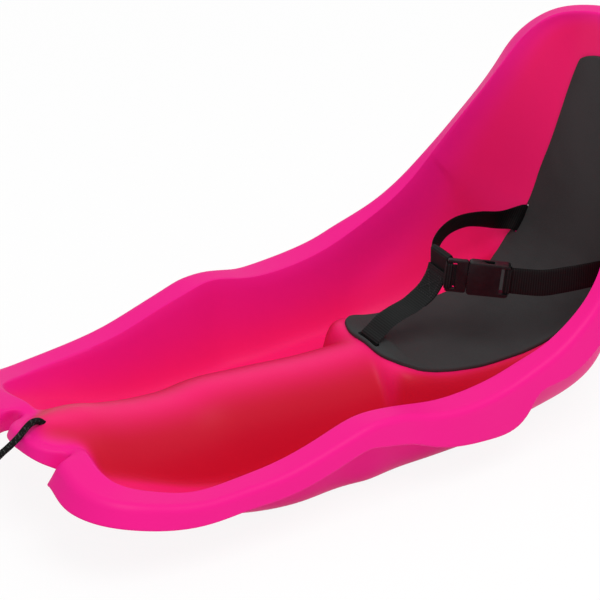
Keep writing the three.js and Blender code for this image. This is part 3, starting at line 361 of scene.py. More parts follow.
def prism(
    outline: Array, centre: Array, right: Array, up: Array, depth: float
) -> tuple[Array, list[list[int]]]:
    """Carry a flat outline through a depth, evenly on both sides of its plane.

    Args:
        outline: Rows of two numbers, anticlockwise.
        centre: Where the outline's origin lies.
        right: Direction of the outline's first number.
        up: Direction of its second.
        depth: Length along the plane's normal.

    Returns:
        The points and the faces.
    """
    normal = np.cross(right, up)
    flat = centre + outline[:, :1] * right + outline[:, 1:] * up
    points = np.vstack([flat - normal * depth / 2, flat + normal * depth / 2])
    n = len(outline)
    sides = [[i, (i + 1) % n, (i + 1) % n + n, i + n] for i in range(n)]
    return points, [list(range(n))[::-1], list(range(n, 2 * n)), *sides]


def stadium(length: float, width: float, steps: int = 8) -> Array:
    """Return the outline of a slot with round ends, its long side along the first axis.

    Args:
        length: Length over both ends.
        width: Width between the long sides.
        steps: Points round each end.

    Returns:
        The points in order.
    """
    angles = np.linspace(-math.pi / 2, math.pi / 2, steps)
    end = np.stack([np.cos(angles), np.sin(angles)], axis=1) * width / 2
    right = end + [(length - width) / 2, 0]
    return np.vstack([right, -right])


def cut_through(piece: bpy.types.Object, cutters: Sequence[bpy.types.Object], crease: float) -> None:
    """Cut a piece with closed cutters, leave the result in its mesh and remove the cutters.

    Args:
        piece: The mesh object to cut.
        cutters: Closed objects that are taken away from it.
        crease: Degrees past which an edge stays sharp.
    """
    for cutter in cutters:
        modifier = piece.modifiers.new("cut", "BOOLEAN")
        modifier.operation = "DIFFERENCE"
        modifier.solver = "EXACT"
        modifier.object = cutter
    settle(piece, crease)
    for cutter in cutters:
        bpy.data.objects.remove(cutter)


def settle(piece: bpy.types.Object, crease: float) -> None:
    """Put the result of a piece's modifiers into its mesh and shade it again.

    Args:
        piece: The mesh object.
        crease: Degrees past which an edge stays sharp.
    """
    bpy.context.view_layer.update()
    graph = bpy.context.evaluated_depsgraph_get()
    mesh = bpy.data.meshes.new_from_object(piece.evaluated_get(graph))
    piece.modifiers.clear()
    piece.data = mesh
    shade(piece, crease)


def tube(
    points: Array, radius: float, sides: int, relief: Callable | None = None
) -> tuple[Array, Faces, Array]:
    """Carry a round section along a path, with a frame that doesn't twist.

    Args:
        points: The path, one row each.
        radius: The section's radius.
        sides: Points round the section.
        relief: A function of length along and angle that gives the height added to the radius.

    Returns:
        The points, the quads, and for each point the length along and the length round.
    """
    tangents = unit(np.gradient(points, axis=0))
    across = np.zeros_like(points)
    side = ACROSS if abs(tangents[0, 0]) < math.cos(math.pi / 4) else UPWARDS
    for i, tangent in enumerate(tangents):
        side = side - tangent * (side @ tangent)
        side = side / np.linalg.norm(side)
        across[i] = side
    up = np.cross(tangents, across)
    lengths = arc_lengths(points)
    angles = np.arange(sides) * 2 * math.pi / sides
    height = radius + (relief(lengths[:, None], angles[None, :]) if relief else 0 * angles[None, :])
    spokes = across[:, None] * np.cos(angles)[None, :, None] + up[:, None] * np.sin(angles)[None, :, None]
    ring = points[:, None] + spokes * np.broadcast_to(height, spokes.shape[:2])[..., None]
    uv = np.stack(np.broadcast_arrays(lengths[:, None], angles[None, :] * radius), axis=-1)
    return ring.reshape(-1, 3), grid_quads(len(points), sides, wrap=True), uv.reshape(-1, 2)


def capped(points: Array, quads: Faces, uv: Array, sides: int) -> Surface:
    """Close both ends of a tube with a fan round a middle point.

    Args:
        points: The tube's points, ring after ring.
        quads: Its side faces.
        uv: Its map, a row for each point.
        sides: Points in a ring.

    Returns:
        Points, faces and map of the closed tube.
    """
    count = len(points)
    rows = count // sides
    middles = [points[:sides].mean(0), points[-sides:].mean(0)]
    ends = [uv[0], uv[-1]]
    faces = quads.tolist()
    last = (rows - 1) * sides
    faces += [[count, (k + 1) % sides, k] for k in range(sides)]
    faces += [[count + 1, last + k, last + (k + 1) % sides] for k in range(sides)]
    return np.vstack([points, middles]), faces, np.vstack([uv, ends])


# Shaders


class Value:
    """A socket that takes part in arithmetic, each step adding a Math node."""

    def __init__(self, graph: "Graph", socket: bpy.types.NodeSocket) -> None:
        """Wrap a socket of a graph."""
        self.graph = graph
        self.socket = socket

    def maths(self, operation: str, *others: "Value | float") -> "Value":
        """Work this value and up to two others through a Math node.

        Args:
            operation: What the node does.
            others: Its further values.

        Returns:
            The result.
        """
        sockets = dict(enumerate((self, *others)))
        node = self.graph.node("ShaderNodeMath", {"operation": operation}, sockets)
        return Value(self.graph, node.outputs[0])

    def __add__(self, other: "Value | float") -> "Value":
        """Return the sum."""
        return self.maths("ADD", other)

    __radd__ = __add__

    def __mul__(self, other: "Value | float") -> "Value":
        """Return the product."""
        return self.maths("MULTIPLY", other)

    __rmul__ = __mul__

    def __abs__(self) -> "Value":
        """Return the size without its sign."""
        return self.maths("ABSOLUTE")

    def sine(self) -> "Value":
        """Return the sine of an angle in radians."""
        return self.maths("SINE")

    def over(self, low: float, high: float) -> "Value":
        """Return 0 below a low value, 1 above a high one, and a smooth rise between.

        Args:
            low: The value where the rise begins.
            high: The value where it ends.

        Returns:
            The share, from 0 to 1.
        """
        settings = {"interpolation_type": "SMOOTHSTEP"}
        sockets = {"Value": self, "From Min": low, "From Max": high}
        node = self.graph.node("ShaderNodeMapRange", settings, sockets)
        return Value(self.graph, node.outputs[0])


class Graph:
    """A material's node tree with one Principled shader."""

    def __init__(self, name: str) -> None:
        """Start an empty material of that name.

        Args:
            name: The material's name.
        """
        self.material = bpy.data.materials.new(name)
        self.material.use_nodes = True
        self.tree = self.material.node_tree
        self.tree.nodes.clear()
        self.output = self.tree.nodes.new("ShaderNodeOutputMaterial")

    def node(self, kind: str, settings: dict, sockets: dict) -> bpy.types.Node:
        """Add a node.

        Args:
            kind: The node's type.
            settings: Its attributes, set before its sockets.
            sockets: For each socket's name or number a value, a Value or another socket.

        Returns:
            The node.
        """
        node = self.tree.nodes.new(kind)
        for key, value in settings.items():
            setattr(node, key, value)
        for key, value in sockets.items():
            link = value.socket if isinstance(value, Value) else value
            if isinstance(link, bpy.types.NodeSocket):
                self.tree.links.new(link, node.inputs[key])
            else:
                node.inputs[key].default_value = link
        return node

    def place(self) -> bpy.types.NodeSocket:
        """Return the point's place on the object, in metres."""
        return self.node("ShaderNodeTexCoord", {}, {}).outputs["Object"]

    def weave(self) -> tuple[Value, Value]:
        """Return the lengths along and across from the map "weave", in millimetres.

        Returns:
            Both lengths.
        """
        source = self.node("ShaderNodeUVMap", {"uv_map": "weave"}, {})
        split = self.node("ShaderNodeSeparateXYZ", {}, {0: source.outputs[0]})
        return Value(self, split.outputs[0]), Value(self, split.outputs[1])

    def noise(self, per_metre: float, detail: float, roughness: float = 0.5) -> Value:
        """Return cloudy values round 0.5 with so many waves to the metre."""
        sockets = {"Vector": self.place(), "Scale": per_metre, "Detail": detail, "Roughness": roughness}
        return Value(self, self.node("ShaderNodeTexNoise", {}, sockets).outputs[0])

    def mixed(
        self, share: Value, low: "str | bpy.types.NodeSocket", high: "str | bpy.types.NodeSocket"
    ) -> bpy.types.NodeSocket:
        """Return a colour between two others, hex codes or sockets, by a share from 0 to 1.

        Args:
            share: How much of the second colour.
            low: The colour at 0.
            high: The colour at 1.

        Returns:
            The mixed colour's socket.
        """
        ends = (tint(end) if isinstance(end, str) else end for end in (low, high))
        sockets = dict(zip((0, 6, 7), (share, *ends)))
        return self.node("ShaderNodeMix", {"data_type": "RGBA"}, sockets).outputs[2]

    def bump(self, height: Value, distance: float, strength: float) -> bpy.types.NodeSocket:
        """Return a normal roughened by a height, with its full distance in metres."""
        sockets = {"Height": height, "Distance": distance, "Strength": strength}
        return self.node("ShaderNodeBump", {}, sockets).outputs[0]

    def finish(self, **sockets: object) -> bpy.types.Material:
        """Add the Principled shader with those sockets and return the material.

        Args:
            sockets: Values or links of the shader's sockets, by name.

        Returns:
            The material.
        """
        named = {
            key.replace("_", " ").title().replace("Ior", "IOR"): value for key, value in sockets.items()
        }
        shader = self.node("ShaderNodeBsdfPrincipled", {}, named)
        self.tree.links.new(shader.outputs[0], self.output.inputs[0])
        return self.material


def tint(code: str) -> tuple[float, float, float, float]:
    """Return the linear colour of a six figure hex code.

    Args:
        code: Six hex figures.

    Returns:
        Red, green, blue and an alpha of 1.
    """
    parts = [int(code[k : k + 2], 16) / 255 for k in (0, 2, 4)]
    linear = [p / 12.92 if p <= 0.04045 else ((p + 0.055) / 1.055) ** 2.4 for p in parts]
    return (*linear, 1.0)


@dataclass(frozen=True)
class MouldedHull:
    """Coloured polyethylene from a mould: satin, faintly cloudy, with painted shade: redder inside the
    rim, dark red on trough flanks.

    The map "weave" holds where shade is painted: how far a point lies inside the rim and how much it
    faces out of a trough.
    """

    colour: str = "f31a8c"
    # Painted shade: the second colour is the pink turned redder deep inside the rim.
    inside: str = "f61f70"
    # Painted shade: the third colour is the dark red of trough flanks that face out.
    flank_shade: str = "c81834"
    roughness: float = 0.37
    cloud_waves: float = 9
    peel_waves: float = 420
    grain_waves: float = 2600

    def material(self) -> bpy.types.Material:
        """Build the material.

        Returns:
            The finished material.
        """
        graph = Graph("moulded_hull")
        clouds = graph.noise(self.cloud_waves, 3)
        peel = graph.noise(self.peel_waves, 2)
        grain = graph.noise(self.grain_waves, 1)
        inside, flank_shade = graph.weave()
        # Painted shade: past the rim the pink turns towards the redder shade colour, a little cloudy.
        skin = graph.mixed(inside * (clouds * 0.2 + 0.9), self.colour, self.inside)
        return graph.finish(
            # Painted shade: flanks that face out of a trough are darkened towards dark red.
            base_color=graph.mixed(flank_shade, skin, self.flank_shade),
            roughness=clouds.over(0.2, 0.8) * 0.06 + grain * 0.04 + self.roughness,
            normal=graph.bump(peel + grain * 0.3, 0.00012, 0.35),
            specular_ior_level=0.1,
        )


@dataclass(frozen=True)
class Foam:
    """Closed cell foam sheet: matt dark grey with a fine cell grain."""

    colour: str = "3a3c3c"
    pit: str = "303232"
    cell_waves: float = 1500
    cloud_waves: float = 14

    def material(self) -> bpy.types.Material:
        """Build the material.

        Returns:
            The finished material.
        """
        graph = Graph("foam")
        cells = graph.noise(self.cell_waves, 3, 0.6)
        clouds = graph.noise(self.cloud_waves, 3)
        shade = (cells * 0.6 + clouds * 0.4).over(0.35, 0.62)
        return graph.finish(
            base_color=graph.mixed(shade, self.pit, self.colour),
            roughness=cells * 0.1 + 0.72,
            normal=graph.bump(cells, 0.0003, 0.5),
            specular_ior_level=0.2,
        )


@dataclass(frozen=True)
class WovenNylon:
    """Black nylon webbing: ribs across its length, each a row of small bundles."""

    colour: str = "1c1e1e"
    shadow: str = "030404"
    rib: float = 2.6
    bundle: float = 1.25
    fibre_waves: float = 3000

    def material(self) -> bpy.types.Material:
        """Build the material: round ribs across the length, each crossed by small bundles.

        Returns:
            The finished material.
        """
        graph = Graph("woven_nylon")
        along, across = graph.weave()
        column = abs((across * (math.pi / self.bundle)).sine())
        crest = abs((along * (math.pi / self.rib) + math.pi / 2).sine())
        height = crest * (column * 0.3 + 0.7)
        fibre = graph.noise(self.fibre_waves, 2)
        return graph.finish(
            base_color=graph.mixed(height.over(0.35, 0.95), self.shadow, self.colour),
            roughness=fibre * 0.2 + 0.5,
            normal=graph.bump(height + fibre * 0.2, 0.0004, 0.8),
            specular_ior_level=0.2,
        )


@dataclass(frozen=True)
class Acetal:
    """Black moulded acetal of the buckle: smooth, with a fine spark texture."""

    colour: str = "0e1212"
    worn: str = "161a1a"
    spark_waves: float = 2200
    wear_waves: float = 160

    def material(self) -> bpy.types.Material:
        """Build the material.

        Returns:
            The finished material.
        """
        graph = Graph("acetal")
        spark = graph.noise(self.spark_waves, 2)
        wear = graph.noise(self.wear_waves, 3)
        return graph.finish(
            base_color=graph.mixed(wear.over(0.35, 0.75), self.colour, self.worn),
            roughness=spark * 0.1 + 0.3,
            normal=graph.bump(spark, 0.00006, 0.4),
            specular_ior_level=0.3,
        )


@dataclass(frozen=True)
class BraidedCord:
    """Black braided rope with grey flecks on the crests of its strands."""

    colour: str = "0d0e0e"
    fleck: str = "5c635e"
    strand: float = 2.2
    strand_round: float = 1.83
    tracer_waves: float = 420
    fibre_waves: float = 3500

    def material(self) -> bpy.types.Material:
        """Build the material: strands that cross left and right, grey here and there.

        Returns:
            The finished material.
        """
        graph = Graph("braided_cord")
        along, around = graph.weave()
        left, right = (
            (along * (math.pi / self.strand) + around * (turn * math.pi / self.strand_round)).sine()
            for turn in (1, -1)
        )
        height = abs(left) * abs(right)
        tracer = graph.noise(self.tracer_waves, 1)
        fleck = tracer.over(0.56, 0.62) * height.over(0.3, 0.8)
        fibre = graph.noise(self.fibre_waves, 2)
        return graph.finish(
            base_color=graph.mixed(fleck, self.colour, self.fleck),
            roughness=fibre * 0.2 + 0.6,
            normal=graph.bump(height + fibre * 0.25, 0.0003, 0.6),
            specular_ior_level=0.12,
        )


@dataclass(frozen=True)
class Thread:
    """Black sewing thread."""

    colour: str = "2a2a2c"
    shadow: str = "141416"
    twist_waves: float = 4200

    def material(self) -> bpy.types.Material:
        """Build the material.

        Returns:
            The finished material.
        """
        graph = Graph("thread")
        twist = graph.noise(self.twist_waves, 2)
        return graph.finish(
            base_color=graph.mixed(twist.over(0.3, 0.7), self.shadow, self.colour),
            roughness=twist * 0.2 + 0.4,
            normal=graph.bump(twist, 0.0001, 0.5),
        )


@dataclass(frozen=True)
class StudioPaper:
    """White paper under and behind the sled, white to the camera with the sled's soft shadow."""

    colour: str = "fdfdfd"
    shadow_share: float = 0.1

    def material(self) -> bpy.types.Material:
        """Build the material: paper lit by the lamps, mixed with plain white where it is seen.

        Returns:
            The finished material.
        """
        graph = Graph("studio_paper")
        paper = graph.node("ShaderNodeBsdfDiffuse", {}, {"Color": tint(self.colour)})
        white = graph.node("ShaderNodeEmission", {}, {"Color": (1, 1, 1, 1), "Strength": 1.0})
        path = graph.node("ShaderNodeLightPath", {}, {})
        seen = Value(graph, path.outputs["Is Camera Ray"]) + Value(graph, path.outputs["Is Glossy Ray"])
        share = seen.over(0, 1) * (1 - self.shadow_share)
        mix = graph.node("ShaderNodeMixShader", {}, {0: share, 1: paper.outputs[0], 2: white.outputs[0]})
        graph.tree.links.new(mix.outputs[0], graph.output.inputs[0])
        return graph.material


class Finish(Enum):
    """The finishes of the sled, by the record's material slots."""

    HULL = ("hull", MouldedHull())
    FOAM = ("foam", Foam())
    WEBBING = ("webbing", WovenNylon())
    BUCKLE = ("buckle", Acetal())
    ROPE = ("rope", BraidedCord())
    THREAD = ("webbing", Thread())

    def material(self) -> bpy.types.Material:
        """Return this finish's material, built the first time it is asked for."""
        key = f"finish_{self.name.lower()}"
        found = bpy.data.materials.get(key)
        if found is None:
            found = self.value[1].material()
            found.name = key
        return found


def dress(piece: bpy.types.Object, finish: Finish, body: str, *nodes: str) -> bpy.types.Object:
    """Give a piece its finish, its body and the CAD nodes that it stands for.

    Args:
        piece: The new object.
        finish: Its finish.
        body: The CAD body that it moves with.
        nodes: CAD nodes that it replaces.

    Returns:
        The same piece.
    """
    piece.data.materials.clear()
    piece.data.materials.append(finish.material())
    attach(piece, body)
    if nodes:
        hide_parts(*nodes)
    log.info("%s: %d faces, rides on %s", piece.name, len(piece.data.polygons), body)
    return piece


# Hull


@dataclass
class HullForm:
    """The sled's inner skin as heights over a developed plan of place across and station."""

    length: float = 790
    half_beam: float = 185
    back_height: float = 355
    wall: float = 3
    rim_width: float = 30
    skirt_depth: float = 45
    lip_radius: float = 8
    seat_height: float = 72
    nose_corner: int = 8
    back_corner: int = 28
    steps_per_row: int = 10
    backrest_station: float = 246
    backrest_angle: float = math.radians(77.5)
    backrest_radius: float = 45
    fan_start: float = -20
    fan_length: float = 620
    fan_power: float = 1.3
    ski_radius: float = 310
    ski_angle: float = math.radians(24.5)
    ski_station: float = -160
    tongue_half: float = 65
    tongue_fall: float = 39.6
    tongue_shoulder_fall: float = 30
    tongue_shoulder_power: float = 8
    tongue_end: float = 20
    platform_station: float = 92
    platform_reach: float = 108
    platform_roundness: float = 6
    platform_crown: float = 1
    platform_crown_half: float = 75
    platform_shoulder: float = 24
    platform_shoulder_power: float = 18
    platform_shoulder_limit: float = 1.6
    platform_fade_start: float = 190
    platform_fade: float = 90
    crown_fade_start: float = 20
    crown_fade: float = 100
    tongue_blend: float = 7
    trough_blend: float = 12
    sunken_depth: float = 60
    wall_softening: float = 8
    rim_blur: float = 4
    halvings: int = 50
    rim_shares: Sequence[Sequence[float]] = (
        (0.000, -0.523, 0.293, 0.33, 0.27, 20), (0.080, -0.520, 0.289, 0.33, 0.27, 20),
        (0.140, -0.508, 0.278, 0.33, 0.33, 20), (0.200, -0.488, 0.269, 0.33, 0.48, 20),
        (0.262, -0.480, 0.274, 0.72, 0.63, 22), (0.336, -0.480, 0.276, 1.06, 0.57, 30),
        (0.422, -0.484, 0.273, 1.09, 0.50, 34), (0.519, -0.484, 0.265, 1.15, 0.53, 34),
        (0.616, -0.473, 0.249, 1.10, 0.51, 30), (0.697, -0.438, 0.225, 0.98, 0.51, 22),
        (0.762, -0.392, 0.206, 0.90, 0.47, 14), (0.778, -0.334, 0.206, 0.93, 0.44, 10),
        (0.789, -0.272, 0.217, 0.97, 0.49, 8), (0.800, -0.209, 0.251, 0.97, 0.49, 8),
        (0.800, -0.158, 0.279, 1.00, 0.49, 8), (0.822, -0.120, 0.282, 0.87, 0.62, 8),
        (0.811, -0.076, 0.259, 0.93, 0.67, 8), (0.816, -0.032, 0.242, 1.07, 0.82, 6),
        (0.822, 0.019, 0.242, 1.10, 0.98, 4), (0.827, 0.063, 0.256, 1.03, 1.00, 4),
        (0.832, 0.095, 0.276, 0.97, 0.60, 6), (0.843, 0.133, 0.304, 0.83, 0.69, 8),
        (0.838, 0.171, 0.346, 0.73, 0.76, 8), (0.827, 0.203, 0.400, 0.67, 0.67, 8),
        (0.800, 0.230, 0.473, 0.67, 0.60, 8), (0.735, 0.257, 0.575, 0.73, 0.56, 8),
        (0.649, 0.284, 0.685, 0.80, 0.56, 8), (0.573, 0.310, 0.792, 0.83, 0.56, 8),
        (0.508, 0.337, 0.885, 0.83, 0.56, 8), (0.411, 0.361, 0.946, 0.83, 0.53, 8),
        (0.281, 0.378, 0.977, 0.80, 0.53, 8), (0.141, 0.389, 0.994, 0.80, 0.53, 8),
        (0.000, 0.392, 1.000, 0.80, 0.53, 8),
    )
    crest_shares: Sequence[Sequence[float]] = (
        (-0.544, 1.444), (-0.500, 1.514), (-0.443, 1.472), (-0.392, 1.319), (-0.339, 1.208),
        (-0.297, 1.167), (-0.257, 1.194), (-0.186, 1.111), (-0.076, 0.958), (-0.013, 0.917),
    )
    seat_shares: Sequence[Sequence[float]] = (
        (-0.051, 0.958), (-0.010, 0.938), (0.025, 0.835), (0.057, 0.718), (0.089, 0.642),
        (0.134, 0.588), (0.190, 0.584), (0.228, 0.628), (0.259, 0.706), (0.285, 0.770),
        (0.310, 0.757), (0.332, 0.676), (0.354, 0.532), (0.380, 0.380), (0.418, 0.205),
        (0.481, 0.062), (0.570, 0.042), (0.658, 0.042),
    )
    platform_half_shares: Sequence[Sequence[float]] = (
        (-0.025, 0.435), (0.076, 0.452), (0.139, 0.457), (0.190, 0.468), (0.234, 0.476),
        (0.291, 0.524), (0.332, 0.557), (0.418, 0.541), (0.506, 0.497), (0.709, 0.378),
    )
    wall_run_shares: Sequence[Sequence[float]] = (
        (-0.570, 0.141), (-0.481, 0.151), (-0.380, 0.162), (0.127, 0.162), (0.203, 0.195),
        (0.291, 0.281), (0.380, 0.335), (0.506, 0.324), (0.658, 0.259), (0.759, 0.216),
    )
    wall_hollow_shares: Sequence[Sequence[float]] = (
        (-0.570, 2.0), (-0.380, 3.0), (0.152, 3.0), (0.291, 2.2), (0.418, 1.8), (0.759, 1.6),
    )

    def __post_init__(self) -> None:
        """Make the curves of the tables."""
        self.crest = monotone_table(self.crest_shares, self.length, self.seat_height)
        self.seat = monotone_table(self.seat_shares, self.length, self.seat_height)
        self.platform_half = monotone_table(self.platform_half_shares, self.length, self.half_beam)
        self.wall_run = monotone_table(self.wall_run_shares, self.length, self.half_beam)
        self.wall_hollow = monotone_table(self.wall_hollow_shares, self.length, 1)

    @property
    def corner_start(self) -> float:
        """Return the station where the backrest's corner begins."""
        return self.backrest_station - self.backrest_radius * math.tan(self.backrest_angle / 2)

    def spine(self, station: Array) -> tuple[Array, Array]:
        """Return along and up of the line the sections stand on: floor, corner arc, backrest.

        Args:
            station: Stations along the hull, in millimetres.

        Returns:
            The places along and the heights.
        """
        past = station - self.corner_start
        turn = np.clip(past / self.backrest_radius, 0, self.backrest_angle)
        beyond = np.maximum(past - self.backrest_radius * self.backrest_angle, 0)
        along = np.minimum(station, self.corner_start) + self.backrest_radius * np.sin(turn)
        up = self.backrest_radius * (1 - np.cos(turn)) + beyond * math.sin(self.backrest_angle)
        return along + beyond * math.cos(self.backrest_angle), up

    def lean(self, station: Array) -> Array:
        """Return how far back a section leans, a power of its share of the fan."""
        share = np.clip((station - self.fan_start) / self.fan_length, 0, 1)
        return self.backrest_angle * share**self.fan_power

    def place(self, across: Array, station: Array, height: Array) -> Array:
        """Return points from place across, station and height in the leaning section.

        Args:
            across: Distances from the centre plane.
            station: Stations along the hull, in millimetres.
            height: Heights in the section, from the spine.

        Returns:
            The points in station coordinates.
        """
        along, up = self.spine(station)
        tilt = self.lean(station)
        along, up = along - np.sin(tilt) * height, up + np.cos(tilt) * height
        return np.stack(np.broadcast_arrays(across, along, up), -1)

    def section_of(self, along: Array, up: Array) -> tuple[Array, Array]:
        """Return the station and section height of points in the side view, by halving.

        Args:
            along: Places along the sled.
            up: Heights over the ground.

        Returns:
            The stations and the heights in their sections.
        """
        low = np.full_like(along, -self.length)
        high = np.full_like(along, self.length)
        for _ in range(self.halvings):
            middle = (low + high) / 2
            y, z = self.spine(middle)
            tilt = self.lean(middle)
            past = (along - y) * np.cos(tilt) + (up - z) * np.sin(tilt) > 0
            low, high = np.where(past, middle, low), np.where(past, high, middle)
        y, z = self.spine(low)
        tilt = self.lean(low)
        return low, (up - z) * np.cos(tilt) - (along - y) * np.sin(tilt)

    def trough(self, station: Array) -> Array:
        """Return the ski's floor: flat, then an arc, then a straight rise to the nose.

        Args:
            station: Stations along the hull, in millimetres.

        Returns:
            The floor's heights.
        """
        ahead = np.maximum(self.ski_station - station, 0)
        reach = self.ski_radius * math.sin(self.ski_angle)
        arc = self.ski_radius - np.sqrt(self.ski_radius**2 - np.minimum(ahead, reach) ** 2)
        return self.wall + arc + np.maximum(ahead - reach, 0) * math.tan(self.ski_angle)

    def floor(self, across: Array, station: Array) -> Array:
        """Return the floor: tongue and seat platform standing in the troughs, with fillets.

        Args:
            across: Distances from the centre plane.
            station: Stations along the hull, in millimetres.

        Returns:
            The floor's heights in the section.
        """
        share = np.abs(across) / self.tongue_half
        shoulder = self.tongue_shoulder_fall * share**self.tongue_shoulder_power
        raised = self.crest(station) - self.tongue_fall * share**2 - shoulder
        raised = np.where(station > self.tongue_end, -self.sunken_depth, raised)
        raised = np.maximum(raised, -self.sunken_depth)
        ahead = np.maximum(self.platform_station - station, 0) / self.platform_reach
        side = np.abs(across) / self.platform_half(station)
        power = self.platform_roundness
        edge = (side**power + ahead**power) ** (1 / power)
        edge = np.minimum(edge, self.platform_shoulder_limit)
        shoulder = self.platform_shoulder * edge**self.platform_shoulder_power
        shoulder = shoulder * (1 - smooth((station - self.platform_fade_start) / self.platform_fade))
        crown = self.platform_crown * (across / self.platform_crown_half) ** 2
        crown = crown * smooth(1 - (station - self.crown_fade_start) / self.crown_fade)
        block = np.maximum(self.seat(station) - crown - shoulder, -self.sunken_depth)
        middle = blended_max(raised, block, self.tongue_blend)
        return blended_max(middle, self.trough(station), self.trough_blend)

    @cached_property
    def rim(self) -> dict[str, Array]:
        """Return the rim's inner edge as fine rows of points, sections, sizes and directions.

        Returns:
            The rows by name.
        """
        sizes = [self.rim_width, self.skirt_depth, math.pi / 180]
        rows = np.array(self.rim_shares) * [self.half_beam, self.length, self.back_height, *sizes]
        chords = np.linalg.norm(np.diff(rows[:, :3], axis=0), axis=1)
        params = np.concatenate([[0], np.cumsum(np.sqrt(chords))])
        share = np.arange(self.steps_per_row) / self.steps_per_row
        at = (params[:-1, None] + np.diff(params)[:, None] * share).ravel()
        line = np.vstack([natural_spline(params, rows, at), rows[-1:]])
        points = line[:, :3]
        station, height = self.section_of(points[:, 1], points[:, 2])
        around = np.vstack([points[:1], points, points[-1:]])
        along = unit(around[2:] - around[:-2])
        out = unit(np.stack([along[:, 1], -along[:, 0], np.zeros(len(along))], 1))
        out[0], out[-1] = (0, -1, 0), (0, 1, 0)
        down = along * along[:, 2:] - UPWARDS
        return {
            "points": points, "station": station, "height": height, "width": line[:, 3],
            "depth": line[:, 4], "flare": line[:, 5], "out": out, "down": unit(down),
        }

    def nearest_rim(self, across: Array, station: Array) -> tuple[Array, Array, Array]:
        """Find the nearest place on the rim in the developed plan.

        Near the rim the height is that of the nearest place, and further off it turns to the
        mean of the whole rim weighted by the inverse square of the squared distance.

        Args:
            across: Places across, one per point.
            station: Stations, one per point.

        Returns:
            Each point's place along the rim, its distance and the rim's height there.
        """
        rim = self.rim
        ax, ast = rim["points"][:-1, 0], rim["station"][:-1]
        dx, ds = np.diff(rim["points"][:, 0]), np.diff(rim["station"])
        mid = (rim["height"][:-1] + rim["height"][1:]) / 2
        best_at, best, blurred = np.empty(len(across)), np.empty(len(across)), np.empty(len(across))
        block = 4000
        for start in range(0, len(across), block):
            part = slice(start, start + block)
            px, ps = across[part, None] - ax, station[part, None] - ast
            t = np.clip((px * dx + ps * ds) / (dx * dx + ds * ds), 0, 1)
            d2 = (px - t * dx) ** 2 + (ps - t * ds) ** 2
            weight = 1 / (d2 + self.rim_blur) ** 2
            blurred[part] = (weight * mid).sum(1) / weight.sum(1)
            k = d2.argmin(1)
            rows = np.arange(len(k))
            best[part], best_at[part] = d2[rows, k], k + t[rows, k]
        distance = np.sqrt(best)
        close = np.interp(best_at, np.arange(len(rim["height"])), rim["height"])
        mix = np.clip(distance / self.wall_softening, 0, 1)
        return best_at, distance, close * (1 - mix) + blurred * mix

    def skin_height(self, across: Array, station: Array) -> tuple[Array, Array, Array]:
        """Return the skin's section height, the nearest place on the rim and its distance.

        The side wall climbs from floor to rim height by a hollow power of the nearness.

        Args:
            across: Distances from the centre plane.
            station: Stations along the hull, in millimetres.

        Returns:
            Heights, nearest places on the rim and distances from it.
        """
        flat, flat_station = np.abs(across).ravel(), np.broadcast_to(station, across.shape).ravel()
        at, distance, rim_height = self.nearest_rim(flat, flat_station)
        floor = self.floor(flat, flat_station)
        nearness = np.clip(1 - distance / self.wall_run(flat_station), 0, 1)
        climb = nearness ** self.wall_hollow(flat_station)
        height = floor + (rim_height - floor) * climb
        return height.reshape(across.shape), at.reshape(across.shape), distance.reshape(across.shape)

    def skin_point(self, across: Array, station: Array) -> Array:
        """Return the skin's points at places across and stations."""
        return self.place(across, station, self.skin_height(across, station)[0])

    def skin_normal(self, across: Array, station: Array) -> Array:
        """Return the directions square to the skin, into the sled.

        Args:
            across: Distances from the centre plane.
            station: Stations along the hull, in millimetres.

        Returns:
            The unit directions.
        """
        step = self.wall
        sideways = self.skin_point(across + step, station) - self.skin_point(across - step, station)
        forwards = self.skin_point(across, station + step) - self.skin_point(across, station - step)
        return unit(np.cross(sideways, forwards))


@dataclass
class StrapSlots:
    """The slots for the straps through hull and pad."""

    form: HullForm
    length: float = 34
    width: float = 5
    through: float = 60
    crotch_through: float = 30
    waist: tuple[float, float, float] = (73, 251.5, 102.7)
    tilt: float = math.radians(61)

    @property
    def crotch(self) -> Array:
        """Return the crotch slot's middle."""
        return self.form.place(np.array(0.0), np.array(0.0), self.form.seat(np.array(0.0)))

    @property
    def up(self) -> Array:
        """Return the waist slots' long direction, up the backrest."""
        return np.array([0, math.cos(self.tilt), math.sin(self.tilt)])

    def cutters(self, spare: float = 0.0) -> list[bpy.types.Object]:
        """Return closed cutters for the three slots, wider by a spare length.

        Args:
            spare: What is added to each slot's length and width.

        Returns:
            The cutter objects.
        """
        outline = stadium(self.length + spare, self.width + spare)
        placed = [prism(outline, self.crotch, ACROSS, np.array([0, 1.0, 0]), self.crotch_through)]
        for side in (1, -1):
            centre = np.array(self.waist) * [side, 1, 1]
            placed.append(prism(outline, centre, self.up, ACROSS, self.through))
        return [mesh_piece("slot_cutter", *solid) for solid in placed]


